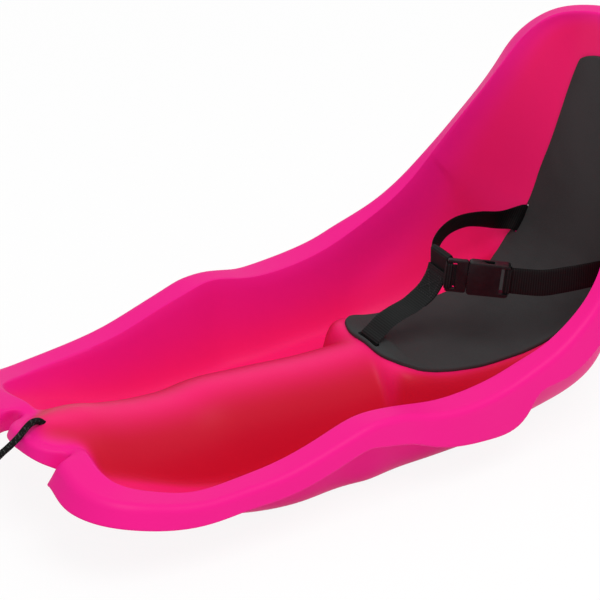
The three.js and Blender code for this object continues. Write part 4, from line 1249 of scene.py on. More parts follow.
@dataclass
class Hull:
    """The moulded shell: the skin, its rolled rim and its wall."""

    form: HullForm
    rows: int = 190
    half_columns: int = 46
    row_crowds: Sequence[tuple[float, float, float]] = (
        (0, 0.03, 1.6), (0.41, 0.035, 1.6), (0.66, 0.06, 0.8), (1, 0.04, 0.8),
    )
    column_crowds: Sequence[tuple[float, float, float]] = ((0.44, 0.09, 1.0), (1, 0.12, 1.2))
    lip_steps: int = 8
    flat_shares: Sequence[float] = (0.06, 0.14, 0.26, 0.45, 0.72)
    skirt_shares: Sequence[float] = (0.25, 0.5, 0.75, 0.9, 1.0)
    # Shares of painted shade: the rim distance where the redder shade is full, the outward slope where
    # the dark red flank shade is full, and the spreading passes.
    inner_shade_reach: float = 16
    flank_shade_full: float = 0.7
    shade_mask_passes: int = 4
    soft_rows: int = 3
    soft_weight: float = 0.5
    soft_rim_weight: float = 0.35
    soft_passes: int = 3
    wall_band: tuple[float, float] = (6, 64)
    wall_fades: tuple[float, float] = (8, 16)
    wall_from: float = 60
    wall_fade: float = 60
    lip_width_share: float = 0.45
    lip_depth_share: float = 0.6
    wall_weight: float = 0.8
    wall_passes: int = 60
    crease: float = 50

    def rim_run(self, start: int, end: int, shares: Array) -> Array:
        """Return places across and stations along a run of the rim, spaced by shares.

        Args:
            start: The rim's row where the run begins.
            end: The row where it ends.
            shares: The spacing along the run, from 0 to 1.

        Returns:
            A place across and a station for each share.
        """
        step = 1 if end > start else -1
        index = np.arange(start, end + step, step)
        run = np.stack([self.form.rim["points"][index, 0], self.form.rim["station"][index]], 1)
        lengths = arc_lengths(run)
        return sampled(run, lengths, shares * lengths[-1])

    def lattice(self) -> tuple[Array, Array, Array]:
        """Lay the half hull's points on a grid.

        Rows run from nose to backrest and columns from the centre plane to the rim. The side
        run of the rim is blended with the nose and top runs by cubic fades, as a Coons patch is.

        Returns:
            Points, nearest rim places and distances from the rim.
        """
        form = self.form
        nose_at = form.nose_corner * form.steps_per_row
        back_at = form.back_corner * form.steps_per_row
        u = crowded(self.rows, self.row_crowds)
        v = crowded(self.half_columns, self.column_crowds)
        side = self.rim_run(nose_at, back_at, u)[:, None]
        nose = self.rim_run(0, nose_at, v)[None]
        top = self.rim_run(len(form.rim["station"]) - 1, back_at, v)[None]
        u, v = u[:, None], v[None, :]
        nose_fade, top_fade = (1 - u) ** 3, u**3
        centre = nose[0, 0, 1] + (top[0, 0, 1] - nose[0, 0, 1]) * u
        across = (
            v * side[..., 0]
            + nose_fade * (nose[..., 0] - v * nose[0, -1, 0])
            + top_fade**2 * (top[..., 0] - v * top[0, -1, 0])
        )
        station = (
            (1 - v) * centre
            + v * side[..., 1]
            + nose_fade * (nose[..., 1] - (1 - v) * nose[0, 0, 1] - v * nose[0, -1, 1])
            + top_fade * (top[..., 1] - (1 - v) * top[0, 0, 1] - v * top[0, -1, 1])
        )
        height, at, distance = form.skin_height(across, station)
        return form.place(across, station, height), at, distance

    def rim_profile(self, start: Array, at: Array) -> tuple[Array, Array]:
        """Carry the rim's section out from the skin's edge: flat, round lip, flared skirt.

        Args:
            start: Points of the skin's edge on the left side.
            at: Their places along the rim.

        Returns:
            Rings of points outwards, and the direction in which the skirt falls.
        """
        rim = self.form.rim
        index = np.arange(len(rim["width"]))
        sizes = ("width", "depth", "flare")
        width, depth, flare = (np.interp(at, index, rim[key])[:, None] for key in sizes)
        low = np.minimum(np.floor(at).astype(int), len(index) - 2)
        share = (at - low)[:, None]
        out = unit(rim["out"][low] * (1 - share) + rim["out"][low + 1] * share)
        down = unit(rim["down"][low] * (1 - share) + rim["down"][low + 1] * share)
        fall = down * np.cos(flare) + out * np.sin(flare)
        most = np.minimum(self.lip_width_share * width, self.lip_depth_share * depth)
        radius = np.minimum(self.form.lip_radius, most)
        corner = start + out * width
        flat_end, skirt_start = corner - out * radius, corner + fall * radius
        rings = [start + (flat_end - start) * s for s in self.flat_shares]
        for k in range(self.lip_steps + 1):
            t = k / self.lip_steps
            rings.append((1 - t) ** 2 * flat_end + 2 * t * (1 - t) * corner + t * t * skirt_start)
        rings += [skirt_start + (corner + fall * depth - skirt_start) * s for s in self.skirt_shares]
        return np.stack(rings), fall

    def skin(self) -> tuple[Array, Faces, Array, Array, Array, Array]:
        """Join the skin's halves and add its hem.

        The side walls ahead of the backrest are relaxed, because their rim distance has a ridge.

        Returns:
            Points, quads, hem, the hem's falls, edge weights and rim distances.
        """
        half, at, distance = self.lattice()
        mirror = np.array([-1.0, 1, 1])
        half[:, 0, 0] = 0
        whole = np.concatenate([half[:, :0:-1] * mirror, half], axis=1)
        rows, columns = whole.shape[:2]
        edge = grid_border(rows, columns)
        row, column = edge // columns, edge % columns
        offset = column - (self.half_columns - 1)
        side = np.sign(offset)[:, None]
        flip = np.where(side < 0, mirror, 1.0)
        rings, fall = self.rim_profile(half[row, np.abs(offset)], at[row, np.abs(offset)])
        rings = rings * flip
        rings[:, offset == 0, 0] = 0
        points = np.vstack([whole.reshape(-1, 3), rings.reshape(-1, 3)])
        count = len(edge)
        base = rows * columns
        loops = np.vstack([edge, base + np.arange(len(rings) * count).reshape(len(rings), count)])
        quads = np.vstack([grid_quads(rows, columns), strips_between(loops)])
        i, j = np.indices((rows, columns))
        steps_in = np.minimum(np.minimum(i, rows - 1 - i), np.minimum(j, columns - 1 - j))
        weights, wall, inside = np.zeros((3, len(points)))
        weights[:base] = np.clip(1 - steps_in.ravel() / self.soft_rows, 0, 1) * self.soft_weight
        weights[loops[1]] = self.soft_rim_weight
        inside[:base] = np.concatenate([distance[:, :0:-1], distance], axis=1).ravel()
        bands = zip(self.wall_band, self.wall_fades)
        near, far = (smooth((inside[:base] - start) / fade) for start, fade in bands)
        behind = smooth((whole[..., 1].ravel() - self.wall_from) / self.wall_fade)
        wall[:base] = near * (1 - far) * behind * self.wall_weight
        points = relaxed(points, quads, wall, self.wall_passes)
        return points, quads, loops[-1], fall * flip, weights, inside

    def painted_shade_masks(self, points: Array, quads: Faces, normals: Array, inside: Array) -> Array:
        """Return the shares of painted shade: how far inside the rim each point lies, and how much it
        faces out of a trough.

        The first is the smooth share of the rim distance over a reach. The second is the smooth
        share of the normal's outward part, where the point is inside, spread to its neighbours.

        Args:
            points: The skin's points.
            quads: Its faces.
            normals: Its unit normals.
            inside: Each point's distance from the rim.

        Returns:
            Both shares for each point.
        """
        near = smooth(inside / self.inner_shade_reach)
        # Painted shade share: how much a point inside the rim faces out of its trough.
        outward = normals[:, 0] * np.sign(points[:, 0])
        flank_shade = smooth(outward / self.flank_shade_full) * near
        even = np.full(len(points), self.soft_weight)
        return relaxed(np.stack([near, flank_shade], 1), quads, even, self.shade_mask_passes)

    def build(self, slots: StrapSlots, rope_hole: "RopeHole") -> bpy.types.Object:
        """Build the shell with its even wall, its rounded hem and its slots.

        Args:
            slots: The strap slots to cut.
            rope_hole: The rope's hole to cut.

        Returns:
            The piece.
        """
        points, quads, hem, fall, weights, inside = self.skin()
        points = relaxed(points, quads, weights, self.soft_passes)
        wall = self.form.wall
        normals = vertex_normals(points, quads)
        count = len(points)
        under = points - normals * wall
        top, bottom = points[hem], under[hem]
        middle = (top + bottom) / 2
        angles = np.radians([45, 90, 135])[:, None, None]
        round_hem = middle + (top - middle) * np.cos(angles) + fall * np.sin(angles) * wall / 2
        everything = np.vstack([points, under, round_hem.reshape(-1, 3)])
        everything[:, 2] = np.maximum(everything[:, 2], 0)
        turn = np.arange(len(hem))
        loops = np.vstack([hem, *(2 * count + k * len(hem) + turn for k in range(3)), hem + count])
        faces = np.vstack([quads, quads[:, ::-1] + count, strips_between(loops)])
        # Shares of painted shade, kept in the map weave: redder inside the rim, dark red on flanks that
        # face out.
        maps = self.painted_shade_masks(points, quads, normals, inside)
        uv = np.vstack([maps, np.zeros((len(everything) - count, 2))])
        shell = mesh_piece("hull_shell", everything, faces, uv)
        cut_through(shell, [*slots.cutters(), rope_hole.cutter()], self.crease)
        return dress(shell, Finish.HULL, "sled", "shell")


@dataclass
class RopeHole:
    """The hole through the tongue's tip that the pull rope comes up by."""

    centre: tuple[float, float, float] = (0, -394.0, 106.8)
    direction: tuple[float, float, float] = (0, -2.4, 3.2)
    radius: float = 3.9
    through: float = 25
    sides: int = 32

    def cutter(self) -> bpy.types.Object:
        """Return a closed round cutter along the rope's direction.

        Returns:
            The cutter object.
        """
        axis = unit(np.array(self.direction))
        angles = np.arange(self.sides) * 2 * math.pi / self.sides
        outline = np.stack([np.cos(angles), np.sin(angles)], 1) * self.radius
        solid = prism(outline, np.array(self.centre), ACROSS, np.cross(axis, ACROSS), self.through)
        return mesh_piece("hole_cutter", *solid)


@dataclass
class SeatPad:
    """The foam sheet over platform and backrest."""

    form: HullForm
    thickness: float = 4.5
    front_station: float = -6
    front_bow: float = 12
    top_station: float = 548
    top_bow: float = 10
    edge_round: float = 2.2
    edge_share: float = 0.25
    lift: float = 0.5
    rows: int = 190
    row_inset: float = 7
    edge_rows: Sequence[float] = (0, 0.25, 0.6, 1.1, 1.8, 2.8, 4.5)
    columns: int = 49
    column_reach: float = 0.9
    edge_columns: Sequence[float] = (0, 0.004, 0.01, 0.018, 0.03, 0.05, 0.08)
    slot_spare: float = 1.0
    crease: float = 60
    half_shares: Sequence[Sequence[float]] = (
        (0.000, 0.281), (0.010, 0.303), (0.020, 0.324), (0.030, 0.341), (0.045, 0.353),
        (0.106, 0.365), (0.159, 0.376), (0.224, 0.386), (0.300, 0.389), (0.370, 0.393),
        (0.437, 0.414), (0.490, 0.433), (0.525, 0.442), (0.555, 0.433), (0.610, 0.415),
        (0.640, 0.401), (0.700, 0.388), (0.790, 0.339), (0.840, 0.317), (0.900, 0.292),
        (0.960, 0.262), (0.985, 0.243), (1.000, 0.195),
    )

    def build(self, slots: StrapSlots) -> bpy.types.Object:
        """Build the pad: the hull's skin raised by a thickness that rounds off at the outline.

        Args:
            slots: The strap slots to cut.

        Returns:
            The piece.
        """
        form = self.form
        half = monotone_table(self.half_shares, 1, form.half_beam)
        length = self.top_station - self.front_station
        near = np.array(self.edge_rows) / length
        inside = np.linspace(self.row_inset / length, 1 - self.row_inset / length, self.rows)
        u = np.concatenate([near, inside, 1 - near[::-1]])[:, None]
        narrow = np.array(self.edge_columns)
        inner = np.linspace(-self.column_reach, self.column_reach, self.columns)
        v = np.concatenate([narrow - 1, inner, 1 - narrow[::-1]])[None, :]
        across = v * half(u)
        station = (
            self.front_station + length * u
            + self.front_bow * np.abs(v) ** 3 * (1 - u) ** 8
            - self.top_bow * v * v * u**8
        )
        edge = np.minimum((1 - np.abs(v)) * half(u), np.minimum(u, 1 - u) * length)
        round_off = np.sqrt(np.clip(1 - (1 - np.clip(edge / self.edge_round, 0, 1)) ** 2, 0, 1))
        bed = form.skin_point(across, station)
        normal = form.skin_normal(across, station)
        raised = (self.thickness - self.lift) * (self.edge_share + (1 - self.edge_share) * round_off)
        top = bed + normal * (self.lift + raised)[..., None]
        bottom = bed + normal * self.lift
        rows, columns = top.shape[:2]
        count = rows * columns
        loop = grid_border(rows, columns)
        quads = grid_quads(rows, columns)
        points = np.vstack([top.reshape(-1, 3), bottom.reshape(-1, 3)])
        sides = strips_between(np.vstack([loop, loop + count]))
        pad = mesh_piece("foam_pad", points, np.vstack([quads, quads[:, ::-1] + count, sides]))
        cut_through(pad, slots.cutters(self.slot_spare), self.crease)
        return dress(pad, Finish.FOAM, "sled", "seat_pad")


# Webbing


@dataclass
class Webbing:
    """Nylon webbing as a ribbon between two edge lines, with ribs across it."""

    width: float = 30
    thickness: float = 1.5
    rib: float = 2.6
    ripple: float = 0.3
    step: float = 0.43
    least_samples: int = 8
    edge_power: float = 10
    profile_shares: Sequence[float] = (-0.99, -0.95, -0.8, -0.5, -0.17, 0.17, 0.5, 0.8, 0.95, 0.99)

    def strip(self, line: Array, half: Array, closed: bool = False) -> Surface:
        """Carry the webbing along its middle line, half its width given as a vector."""
        return self.ribbon(line + half, line - half, closed=closed)

    def ribbon(self, top: Array, bottom: Array, offset: float = 0.0, closed: bool = False) -> Surface:
        """Carry the webbing's flat section along two edge lines.

        The section is a flat loop whose half thickness is the tenth power's complement of the
        place across, raised by a wave along the length for the ribs.

        Args:
            top: Points of the upper edge.
            bottom: Points of the lower edge, as many.
            offset: Distance of the webbing's middle from the lines, along its face.
            closed: Whether the last points join the first.

        Returns:
            The points, the faces and the map of lengths along and across.
        """
        lengths = arc_lengths((top + bottom) / 2)
        samples = max(int(lengths[-1] / self.step), self.least_samples)
        at = np.linspace(0, lengths[-1], samples)
        top, bottom = sampled(top, lengths, at), sampled(bottom, lengths, at)
        middles = (top + bottom) / 2
        if closed:
            along = np.roll(middles[:-1], -1, 0) - np.roll(middles[:-1], 1, 0)
            along = np.vstack([along, along[:1]])
        else:
            along = np.gradient(middles, axis=0)
        normal = unit(np.cross(along, top - bottom))
        share = np.array(self.profile_shares)
        place = np.concatenate([[-1], share, [1], share[::-1]])
        side = np.concatenate([[0], np.ones(len(share)), [0], -np.ones(len(share))])
        swell = side * np.sqrt(1 - np.abs(place) ** self.edge_power) * self.thickness / 2
        wave = self.ripple * (np.cos(2 * math.pi * at / self.rib) - 1) / 2
        height = swell[None] + side[None] * wave[:, None] + offset
        line = middles[:, None] + (bottom - top)[:, None] / 2 * place[None, :, None]
        points = line + normal[:, None] * height[..., None]
        uv = np.stack(np.broadcast_arrays(at[:, None], place[None] * self.width / 2), -1)
        count = len(place)
        if closed:
            points, uv = points[:-1], uv[:-1]
            rows = len(points)
            quads = grid_quads(rows + 1, count, wrap=True) % (rows * count)
            return points.reshape(-1, 3), quads[:, ::-1].tolist(), uv.reshape(-1, 2)
        quads = grid_quads(samples, count, wrap=True)[:, ::-1].tolist()
        last = (samples - 1) * count
        caps = [list(range(count)), list(range(last, last + count))[::-1]]
        return points.reshape(-1, 3), quads + caps, uv.reshape(-1, 2)


def merged(parts: Sequence[Surface]) -> Surface:
    """Join several lists of points, faces and maps into one.

    Args:
        parts: Points, faces and map of each part.

    Returns:
        The same three for the whole.
    """
    points, faces, maps, start = [], [], [], 0
    for part_points, part_faces, part_map in parts:
        points.append(part_points)
        maps.append(part_map)
        faces += [[index + start for index in face] for face in part_faces]
        start += len(part_points)
    return np.vstack(points), faces, np.vstack(maps)


def rounded_loop(half_right: float, half_up: float, radius: float, steps: int = 8) -> Array:
    """Return a closed rounded rectangle, anticlockwise, its last point the first again.

    Args:
        half_right: Half its size along the first axis.
        half_up: Half its size along the second.
        radius: The corners' radius.
        steps: Points in each corner.

    Returns:
        The points in order.
    """
    corners = [(1, 1, 0), (-1, 1, 90), (-1, -1, 180), (1, -1, 270)]
    runs = []
    for x, y, turn in corners:
        angles = np.radians(turn + np.linspace(0, 90, steps))
        centre = [x * (half_right - radius), y * (half_up - radius)]
        runs.append(np.stack([np.cos(angles), np.sin(angles)], 1) * radius + centre)
    loop = np.vstack(runs)
    return np.vstack([loop, loop[:1]])


def in_centre_plane(path: Array, station: float, height: float) -> Array:
    """Return a flat path stood up in the centre plane, its origin at a station and height."""
    return np.column_stack([np.zeros(len(path)), path + [station, height]])


@dataclass
class Stitching:
    """Rows of short thread stitches lying on a strap."""

    length: float = 2.2
    gap: float = 0.9
    radius: float = 0.32
    rings: int = 5
    sides: int = 8

    def row(self, start: Array, end: Array, face: Array) -> Surface:
        """Lay stitches from one point to another: each a small ellipsoid half in the strap.

        Args:
            start: Where the row begins.
            end: Where it ends.
            face: The strap's unit normal.

        Returns:
            Points, faces and map of all stitches.
        """
        span = np.linalg.norm(end - start)
        count = max(int(span / (self.length + self.gap)), 1)
        along = (end - start) / span
        across = np.cross(face, along)
        theta = np.linspace(0, math.pi, self.rings + 2)[1:-1, None]
        phi = np.arange(self.sides) * 2 * math.pi / self.sides
        end_on, spread = np.cos(theta) * self.length / 2, np.sin(theta) * self.radius
        body = np.broadcast_arrays(end_on, spread * np.cos(phi), spread * np.sin(phi))
        tips = [[self.length / 2, 0, 0], [-self.length / 2, 0, 0]]
        body = np.vstack([np.stack(body, -1).reshape(-1, 3), tips])
        faces = grid_quads(self.rings, self.sides, wrap=True).tolist()
        tip, last = self.rings * self.sides, (self.rings - 1) * self.sides
        steps = [(k, (k + 1) % self.sides) for k in range(self.sides)]
        faces += [[tip, after, k] for k, after in steps]
        faces += [[tip + 1, last + k, last + after] for k, after in steps]
        basis = np.stack([along, across, face])
        parts = []
        for k in range(count):
            centre = start + along * (k + 0.5) * span / count
            parts.append((centre + body @ basis, faces, np.zeros((len(body), 2))))
        return merged(parts)


@dataclass
class CrotchStrap:
    """The strap between the legs: out of its slot, up to a sewn loop round the waist belt."""

    form: HullForm
    slots: StrapSlots
    webbing: Webbing = field(default_factory=Webbing)
    pad_thickness: float = 4.5
    loop_station: float = 91
    loop_height: float = 132
    loop_hollow: float = 33
    loop_gap: float = 5.5
    stem_shares: Sequence[tuple[float, float]] = (
        (0.09, 0.15), (0.22, 0.28), (0.385, 0.36), (0.55, 0.41), (0.68, 0.485), (0.78, 0.57),
        (0.86, 0.69), (0.915, 0.83), (0.945, 0.97),
    )
    stem_samples: int = 120
    keeper_bar: float = 5
    sewn_share: float = 0.42
    sewn_fade: float = 0.12
    tail_share: float = 0.85
    layer_share: float = 0.53
    seam_margin: float = 3
    seam_full: float = 0.9
    seam_skip: int = 8

    @property
    def keeper_top(self) -> float:
        """Return the height of the webbing's middle where it lies over its keeper."""
        return self.slots.crotch[2] - self.form.wall - 2 * FIT_GAP - TAPE / 2

    def stem(self) -> Array:
        """Bend the strap's middle line through its shares, in the centre plane.

        Returns:
            Even points from its keeper to its loop.
        """
        pad_top = self.slots.crotch[2] + self.pad_thickness
        rise = self.loop_height - pad_top
        bends = [[0, along * self.loop_station, pad_top + up * rise] for along, up in self.stem_shares]
        points = np.array([[0, 0, self.keeper_top], [0, 0, pad_top + 2 * TAPE], *bends])
        return respaced(centripetal(points, self.stem_samples), self.stem_samples)

    def build(self) -> bpy.types.Object:
        """Build the strap: stem, sewn tail, loop and the eye round its keeper.

        Returns:
            The piece.
        """
        stem = self.stem()
        tangent = unit(np.gradient(stem, axis=0))
        face = np.stack([np.zeros(len(stem)), -tangent[:, 2], tangent[:, 1]], 1)
        doubled = smooth((np.linspace(0, 1, len(stem)) - (1 - self.sewn_share)) / self.sewn_fade)
        spread = (doubled * self.webbing.thickness * self.layer_share)[:, None]
        half = self.webbing.width / 2 * ACROSS
        upper = stem + face * spread
        tail_from = int(len(stem) * (1 - self.sewn_share * self.tail_share))
        lower = (stem - face * spread)[tail_from:]
        reaches = (self.loop_gap + TAPE) / 2, (self.loop_hollow + TAPE) / 2
        loop = rounded_loop(*reaches, self.loop_gap / 2 + FIT_GAP)
        loop = in_centre_plane(loop, self.loop_station, self.loop_height)
        reach = (self.keeper_bar + 2 * FIT_GAP + TAPE) / 2
        eye = rounded_loop(reach, reach, FIT_GAP + TAPE / 2)
        eye = in_centre_plane(eye, 0, self.keeper_top - reach)
        parts = [self.webbing.strip(line, half) for line in (upper, lower)]
        parts += [self.webbing.strip(line, half, closed=True) for line in (loop, eye)]
        strap = mesh_piece("crotch_webbing", *merged(parts))
        self.stitch(upper, face, spread[:, 0])
        return dress(strap, Finish.WEBBING, "sled", "crotch_strap")

    def stitch(self, upper: Array, face: Array, spread: Array) -> bpy.types.Object:
        """Sew the doubled part: two rows across it and a cross between them.

        Args:
            upper: The upper layer's middle line.
            face: The strap's normal at each of its points.
            spread: How far the layer lies from the strap's middle line there.

        Returns:
            The piece.
        """
        thread = Stitching()
        sewn = np.flatnonzero(spread > self.seam_full * spread.max())
        low, high = sewn[len(sewn) // 5], sewn[-self.seam_skip]
        lift = self.webbing.thickness / 2
        reach = self.webbing.width / 2 - self.seam_margin

        def at(index: int, across: float) -> Array:
            """Return a point on the strap's upper face."""
            return upper[index] + face[index] * lift + ACROSS * across * reach

        normal = face[(low + high) // 2]
        corners = [at(low, -1), at(low, 1), at(high, -1), at(high, 1)]
        seams = ((0, 1), (2, 3), (0, 2), (1, 3), (0, 3), (1, 2))
        parts = [thread.row(corners[a], corners[b], normal) for a, b in seams]
        sewing = mesh_piece("crotch_stitching", *merged(parts))
        return dress(sewing, Finish.THREAD, "sled")


@dataclass
class Buckle:
    """The side release buckle's frame of directions and its CAD pieces with softened edges."""

    centre: tuple[float, float, float] = (38, 110, 129)
    length: float = 66
    heading: float = math.radians(55)
    fall: float = math.radians(6)
    bar: float = 4
    plug_depth: float = 4.6
    edge: float = 0.0006
    edge_steps: int = 3
    crease: float = 35
    flat: float = math.radians(2)
    merge: float = 2e-5
    arm_share: float = 0.5

    @property
    def ahead(self) -> Array:
        """Return the direction from plug to socket."""
        level = math.cos(self.fall)
        x, y = math.cos(self.heading), math.sin(self.heading)
        return np.array([x * level, y * level, -math.sin(self.fall)])

    @property
    def face(self) -> Array:
        """Return the direction out of the buckle's front."""
        return unit(np.cross(self.ahead, UPWARDS))

    @property
    def upright(self) -> Array:
        """Return the direction across the webbing."""
        return np.cross(self.face, self.ahead)

    def bar_middle(self, end: int) -> Array:
        """Return the middle of the plug's bar (-1) or the socket's (1)."""
        return np.array(self.centre) + self.ahead * end * (self.length - self.bar) / 2

    def soften(self, node: str, body: str, share: float = 1) -> bpy.types.Object:
        """Copy a CAD piece, merge its triangles into flats and round its edges.

        Args:
            node: The CAD node to copy and replace.
            body: The body that it moves with.
            share: Its rounding as a share of the buckle's.

        Returns:
            The new piece.
        """
        piece = linked(f"{node}_moulding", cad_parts[node].data.copy())
        shape = bmesh.new()
        shape.from_mesh(piece.data)
        bmesh.ops.remove_doubles(shape, verts=shape.verts, dist=self.merge)
        bmesh.ops.dissolve_limit(shape, angle_limit=self.flat, verts=shape.verts, edges=shape.edges)
        shape.to_mesh(piece.data)
        shape.free()
        modifier = piece.modifiers.new("edges", "BEVEL")
        modifier.width = self.edge * share
        modifier.segments = self.edge_steps
        modifier.limit_method = "ANGLE"
        modifier.angle_limit = math.radians(self.crease)
        settle(piece, self.crease)
        return dress(piece, Finish.BUCKLE, body, node)

    def build(self) -> None:
        """Build plug, latch arms and socket."""
        self.soften("buckle_plug", "sled")
        self.soften("latch_arm_upper", "upper_latch", self.arm_share)
        self.soften("latch_arm_lower", "lower_latch", self.arm_share)
        self.soften("buckle_socket", "socket")


@dataclass
class WaistBelt:
    """The belt: the long run through the crotch loop and behind the backrest, and the short run."""

    form: HullForm
    slots: StrapSlots
    buckle: Buckle
    webbing: Webbing = field(default_factory=Webbing)
    loop_station: float = 91
    loop_height: float = 132
    pad_thickness: float = 4.5
    back_points: int = 12
    long_samples: int = 1200
    short_samples: int = 400
    eye_radius: float = 1.3
    tail_run: tuple[float, float] = (1.5, 13)
    tail_margin: float = 2
    ladder_places: Sequence[float] = (4.5, 8.5)
    ladder_lift: float = 1.4
    ladder_radius: float = 1.1
    ladder_sides: int = 16
    far_shares: Sequence = (
        ((1.027, 0.831, -0.411), (1.175, 0.827, -1.309)),
        ((0.959, 0.625, -0.018), (1.096, 0.675, -0.889)),
        ((0.822, 0.415, 0.346), (0.949, 0.501, -0.444)),
        ((0.630, 0.238, 0.560), (0.764, 0.301, -0.224)),
        ((0.411, 0.080, 0.590), (0.530, 0.147, -0.230)),
        ((0.234, 0.000, 0.50), (0.234, 0.000, -0.50)),
        ((0.00, -0.006, 0.50), (0.00, -0.006, -0.50)),
        ((-0.212, -0.006, 0.50), (-0.212, -0.006, -0.50)),
    )
    near_shares: Sequence = (
        ((0.973, 0.498, 0.064), (1.000, 0.478, -0.900)),
        ((1.082, 0.655, 0.050), (1.123, 0.631, -0.880)),
        ((1.151, 0.777, 0.040), (1.192, 0.762, -0.870)),
        ((1.150, 0.900, -0.060), (1.180, 0.870, -0.950)),
    )

    def place(self, side: int, shares: Sequence[float]) -> Array:
        """Return a belt point from its shares of the way between loop and slot.

        Args:
            side: Which side of the sled, 1 or -1.
            shares: Shares across and along, and the rise over the loop in webbing widths.

        Returns:
            The point.
        """
        across, along, up = shares
        run = self.slots.waist[1] - self.loop_station
        return np.array([
            side * across * self.slots.waist[0],
            self.loop_station + along * run,
            self.loop_height + up * self.webbing.width,
        ])

    def slot_edge(self, side: int, end: int, beyond: float) -> Array:
        """Return a corner of the webbing in a waist slot, so far behind the slot's middle.

        Args:
            side: Which side of the sled, 1 or -1.
            end: The webbing's upper (1) or lower (-1) edge.
            beyond: Distance behind the slot's middle.

        Returns:
            The point.
        """
        back = np.cross(self.slots.up, ACROSS)
        centre = np.array(self.slots.waist) * [side, 1, 1]
        return centre + self.slots.up * end * self.webbing.width / 2 + back * beyond

    def back_edge(self, across: float, end: int) -> Array:
        """Return a corner of the belt lying on the outside of the backrest.

        Args:
            across: Distance from the centre plane.
            end: The webbing's upper (1) or lower (-1) edge.

        Returns:
            The point.
        """
        along, height = self.slots.waist[1:]
        station, _ = self.form.section_of(np.array([along]), np.array([height]))
        offset = self.form.wall + 4 * FIT_GAP + TAPE / 2
        at = station + np.array([0, self.webbing.width / 2])
        x = np.full(2, across)
        outside = self.form.skin_point(x, at) - self.form.skin_normal(x, at) * offset
        up = unit(outside[1] - outside[0])
        return outside[0] + up * end * self.webbing.width / 2

    def long_edge(self, end: int) -> Array:
        """Return the control points of the long run's upper (1) or lower (-1) edge.

        Args:
            end: The edge, 1 or -1.

        Returns:
            The points from plug to slot and behind the backrest.
        """
        row = (1 - end) // 2
        behind = self.form.wall + self.pad_thickness
        eye = self.buckle.plug_depth + 2 * FIT_GAP
        arrival = self.buckle.bar_middle(-1) - self.buckle.face * (eye + TAPE) / 2
        points = [arrival + self.buckle.upright * end * self.webbing.width / 2]
        points += [self.place(-1, pair[row]) for pair in reversed(self.far_shares)]
        points += [self.slot_edge(-1, end, shift) for shift in (-behind, 0, behind)]
        meet = self.slots.waist[0] - self.slots.width
        behind_it = np.linspace(self.slots.width - meet, meet, self.back_points + 1)
        return np.array(points + [self.back_edge(across, end) for across in behind_it])

    def short_edge(self, end: int) -> Array:
        """Return the control points of the short run's upper (1) or lower (-1) edge.

        Args:
            end: The edge, 1 or -1.

        Returns:
            The points from socket to slot.
        """
        row = (1 - end) // 2
        behind = self.form.wall + self.pad_thickness
        eye = self.buckle.bar + 2 * FIT_GAP
        leave = self.buckle.bar_middle(1) + self.buckle.ahead * (eye + TAPE) / 2
        points = [leave + self.buckle.upright * end * self.webbing.width / 2]
        points += [self.place(1, pair[row]) for pair in self.near_shares]
        points += [self.slot_edge(1, end, shift) for shift in (-behind, 0, behind)]
        return np.array(points)

    def bar_eye(self, middle: Array) -> Surface:
        """Return the webbing's turn round a buckle bar.

        Args:
            middle: The middle of the bar.

        Returns:
            Points, faces and map of the turn.
        """
        room = 2 * FIT_GAP + TAPE
        reaches = (self.buckle.bar + room) / 2, (self.buckle.plug_depth + room) / 2
        path = rounded_loop(*reaches, self.eye_radius)
        line = middle + path[:, :1] * self.buckle.ahead - path[:, 1:] * self.buckle.face
        return self.webbing.strip(line, -self.buckle.upright * self.webbing.width / 2, closed=True)

    def window(self) -> None:
        """Build what shows in the plug's window: the webbing's tail and the ladder bars."""
        plug, ahead = self.buckle.bar_middle(-1), self.buckle.ahead
        half = self.buckle.upright * (self.webbing.width / 2 - self.tail_margin)
        line = plug + np.linspace(*self.tail_run, 12)[:, None] * ahead
        tail = mesh_piece("plug_tail", *self.webbing.strip(line, half))
        dress(tail, Finish.WEBBING, "sled")
        bars = []
        for place in self.ladder_places:
            middle = plug + ahead * place + self.buckle.face * self.ladder_lift
            line = middle + np.linspace(-1, 1, 9)[:, None] * half
            bars.append(capped(*tube(line, self.ladder_radius, self.ladder_sides), self.ladder_sides))
        dress(mesh_piece("plug_ladder", *merged(bars)), Finish.BUCKLE, "sled")

    def build(self) -> None:
        """Build what shows in the plug's window, and both runs of the belt."""
        self.window()
        edges = (centripetal(self.long_edge(end), self.long_samples) for end in (1, -1))
        parts = [self.webbing.ribbon(*edges), self.bar_eye(self.buckle.bar_middle(-1))]
        belt = mesh_piece("waist_webbing", *merged(parts))
        dress(belt, Finish.WEBBING, "sled", "waist_belt")
        edges = [centripetal(self.short_edge(end), self.short_samples) for end in (1, -1)]
        layers = [self.webbing.ribbon(*edges, offset=shift) for shift in (TAPE / 2, -TAPE / 2)]
        parts = [*layers, self.bar_eye(self.buckle.bar_middle(1))]
        short = mesh_piece("waist_webbing_short", *merged(parts))
        dress(short, Finish.WEBBING, "sled", "waist_belt_short")


# Rope


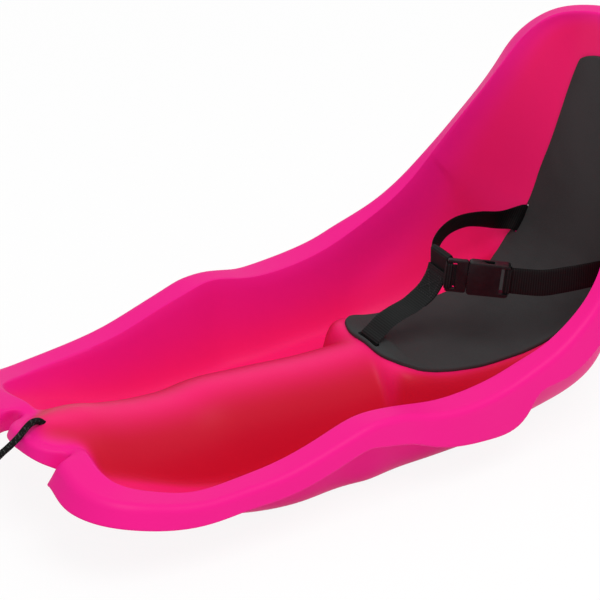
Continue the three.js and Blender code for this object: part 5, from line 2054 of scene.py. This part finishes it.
@dataclass
class PullRope:
    """The braided rope: from its knot under the tongue over the nose to a coil on the ground."""

    diameter: float = 7
    sides: int = 40
    step: float = 1.0
    coil_middle_radius: float = 38.5
    coil_pitch: float = 7.6
    coil_turns: int = 2
    steps_per_turn: int = 48
    strand: float = 2.2
    strand_turns: float = 6
    relief: float = 0.28
    relief_mean: float = 0.6
    route_samples: tuple[int, int] = (1600, 400)
    shown_samples: int = 260
    crease: float = 70
    knot_wraps: float = 2.6
    knot_radius: float = 4.0
    knot_strand: float = 2.5
    knot_length: float = 11
    knot_core: float = 3.2
    knot_samples: int = 260
    knot_ends: tuple[float, float] = (0.04, 0.96)
    knot_fullness: float = 0.25
    core_samples: int = 24
    knot_sides: int = 20
    route: Sequence[Sequence[float]] = (
        (0, -0.3916, 0.1036), (0, -0.3940, 0.1068), (0.0003, -0.3978, 0.1112),
        (0.0015, -0.4038, 0.1143), (0.003, -0.411, 0.1144), (0.005, -0.419, 0.1110),
        (0.007, -0.4275, 0.1062), (0.009, -0.439, 0.101), (0.011, -0.4508, 0.0966),
        (0.015, -0.470, 0.086), (0.020, -0.492, 0.068), (0.026, -0.516, 0.046),
        (0.033, -0.540, 0.025), (0.041, -0.563, 0.010), (0.049, -0.584, 0.0044),
        (0.055, -0.600, 0.0036), (0.0585, -0.6082, 0.0036),
    )

    def free_stretch(self) -> Array:
        """Return the route of the free stretch in millimetres."""
        fine, even = self.route_samples
        return respaced(centripetal(np.array(self.route) / METRES, fine), even)

    def coil(self) -> tuple[Array, Array]:
        """Wind the coil: in on the floor, up a layer, out.

        Returns:
            The coil's points and its last direction.
        """
        route = np.array(self.route) / METRES
        heading = unit(route[-1] - route[-2])
        outer = self.coil_middle_radius + self.coil_pitch * self.coil_turns / 2
        side = np.array([-heading[1], heading[0], 0])
        first = route[-1] + heading * FIT_GAP
        start = first + heading * self.diameter
        centre = start - side * outer
        steps = (2 * self.coil_turns + 0.5) * self.steps_per_turn
        turns = np.arange(0, steps + 1) / self.steps_per_turn
        inward = self.coil_turns + 0.25 - np.abs(turns - self.coil_turns - 0.25)
        radius = outer - self.coil_pitch * inward
        angle = -2 * math.pi * turns
        spoke = side * np.cos(angle)[:, None] + np.cross(UPWARDS, side) * np.sin(angle)[:, None]
        points = centre + spoke * radius[:, None]
        points[:, 2] += self.coil_pitch * smooth((turns - self.coil_turns) * 2)
        final = angle[-1]
        last = heading * math.cos(final) + np.cross(UPWARDS, heading) * math.sin(final)
        tail = points[-1] + last * 3 * self.diameter
        return np.vstack([first, points, tail]), last

    def braid(self, along: Array, angle: Array) -> Array:
        """Return the strands' relief: the product of two crossed waves, sunk by its mean.

        Args:
            along: Length along the rope.
            angle: Angle round it.

        Returns:
            What is added to its radius.
        """
        left = np.sin(along * math.pi / self.strand + angle * self.strand_turns)
        right = np.sin(along * math.pi / self.strand - angle * self.strand_turns)
        return self.relief * (np.abs(left * right) - self.relief_mean)

    def build(self) -> bpy.types.Object:
        coil, self.last = self.coil()
        self.end = coil[-1]
        whole = np.vstack([self.free_stretch(), coil])
        length = arc_lengths(whole)[-1]
        path = respaced(whole, int(length / self.step))
        surface = capped(*tube(path, self.diameter / 2, self.sides, self.braid), self.sides)
        rope = mesh_piece("rope", *surface, crease=self.crease)
        dress(rope, Finish.ROPE, "sled", "pull_rope", "rope_coil")
        knots = [self.knot("rope_stopper_knot", "stopper_knot"), self.knot("rope_end_knot", "end_knot")]
        return rope

    def knot(self, node: str, name: str) -> bpy.types.Object:
        """Build a barrel knot: the rope wound in a tight helix round its own line.

        Args:
            node: The CAD node to replace.
            name: The new piece's name.

        Returns:
            The piece.
        """
        low, high = (np.array(corner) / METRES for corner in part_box(node))
        middle = (low + high) / 2 - [0, SLOT_STATION, 0]
        route = np.array(self.route) / METRES
        axis = unit(route[1] - route[0]) if node == "rope_stopper_knot" else self.last
        right = unit(np.cross(axis, [0, 0.3, 1.0]))
        up = np.cross(axis, right)
        t = np.linspace(0, 1, self.knot_samples)
        angle = 2 * math.pi * self.knot_wraps * t
        spread = self.knot_radius * np.sin(math.pi * np.clip(t, *self.knot_ends)) ** self.knot_fullness
        along = (t - 0.5) * (self.knot_length - 2 * self.knot_strand)
        spoke = right * np.cos(angle)[:, None] + up * np.sin(angle)[:, None]
        winding = middle + axis * along[:, None] + spoke * spread[:, None]
        core = np.linspace(-0.5, 0.5, self.core_samples)[:, None] * self.knot_length * axis + middle
        parts = [
            capped(*tube(winding, self.knot_strand, self.knot_sides, self.braid), self.knot_sides),
            capped(*tube(core, self.knot_core, self.knot_sides), self.knot_sides),
        ]
        piece = mesh_piece(name, *merged(parts), crease=self.crease)
        return dress(piece, Finish.ROPE, "sled", node)


# Studio


@dataclass
class Studio:
    """Camera at the photograph's angle, soft light from above and a white floor."""

    azimuth: float = math.radians(56.0)
    elevation: float = math.radians(30.6)
    distance: float = 4.6
    lens: float = 259.4
    sensor: float = 36
    clip_end: float = 100
    target: tuple[float, float, float] = (-0.13357, 0.05243, 0.05294)
    world_strength: float = 0.58
    lamps: Sequence[tuple[str, tuple[float, float, float], float, float]] = (
        ("key", (1.2, -0.1, 3.0), 2.0, 52),
        ("back", (-2.2, 1.5, 1.9), 2.2, 3),
    )
    floor_half: float = 12
    floor_height: float = -0.0002

    def camera(self) -> None:
        """Set the camera up."""
        data = bpy.data.cameras.new("camera")
        data.lens, data.sensor_width, data.clip_end = self.lens, self.sensor, self.clip_end
        camera = linked("camera", data)
        level = math.cos(self.elevation)
        x, y = math.sin(self.azimuth), -math.cos(self.azimuth)
        back = Vector((x * level, y * level, math.sin(self.elevation)))
        camera.location = Vector(self.target) + back * self.distance
        camera.rotation_euler = back.to_track_quat("Z", "Y").to_euler()
        bpy.context.scene.camera = camera

    def lights(self) -> None:
        """Light the sled from the world, with a soft key lamp and a softer one behind."""
        world = bpy.data.worlds.new("studio")
        world.use_nodes = True
        background = world.node_tree.nodes["Background"]
        background.inputs["Color"].default_value = (1, 1, 1, 1)
        background.inputs["Strength"].default_value = self.world_strength
        bpy.context.scene.world = world
        for name, at, size, power in self.lamps:
            lamp = bpy.data.lights.new(name, "AREA")
            lamp.energy, lamp.size = power, size
            holder = linked(name, lamp)
            holder.location = at
            holder.rotation_euler = Vector(at).to_track_quat("Z", "Y").to_euler()

    def floor(self) -> None:
        """Lay the white floor just under the sled."""
        mesh = bpy.data.meshes.new("floor")
        signs = ((-1, -1), (1, -1), (1, 1), (-1, 1))
        corners = [(x * self.floor_half, y * self.floor_half, self.floor_height) for x, y in signs]
        mesh.from_pydata(corners, [], [(0, 1, 2, 3)])
        mesh.materials.append(StudioPaper().material())
        floor = linked("floor", mesh)

    def build(self) -> None:
        """Set up lights and floor, and the plain view transform."""
        self.lights()
        self.floor()
        bpy.context.scene.view_settings.view_transform = "Standard"


def main() -> None:
    """Build every sub-assembly in order and report each piece."""
    logging.basicConfig(level=logging.INFO, format="%(name)s: %(message)s")
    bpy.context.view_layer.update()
    studio = Studio()
    studio.camera()
    PullRope().build()
    form = HullForm()
    slots = StrapSlots(form)
    Hull(form).build(slots, RopeHole())
    SeatPad(form).build(slots)
    CrotchStrap(form, slots).build()
    buckle = Buckle()
    buckle.build()
    WaistBelt(form, slots, buckle).build()
    buckle.soften("crotch_keeper", "sled")
    studio.build()


if __name__ == "__main__":
    main()
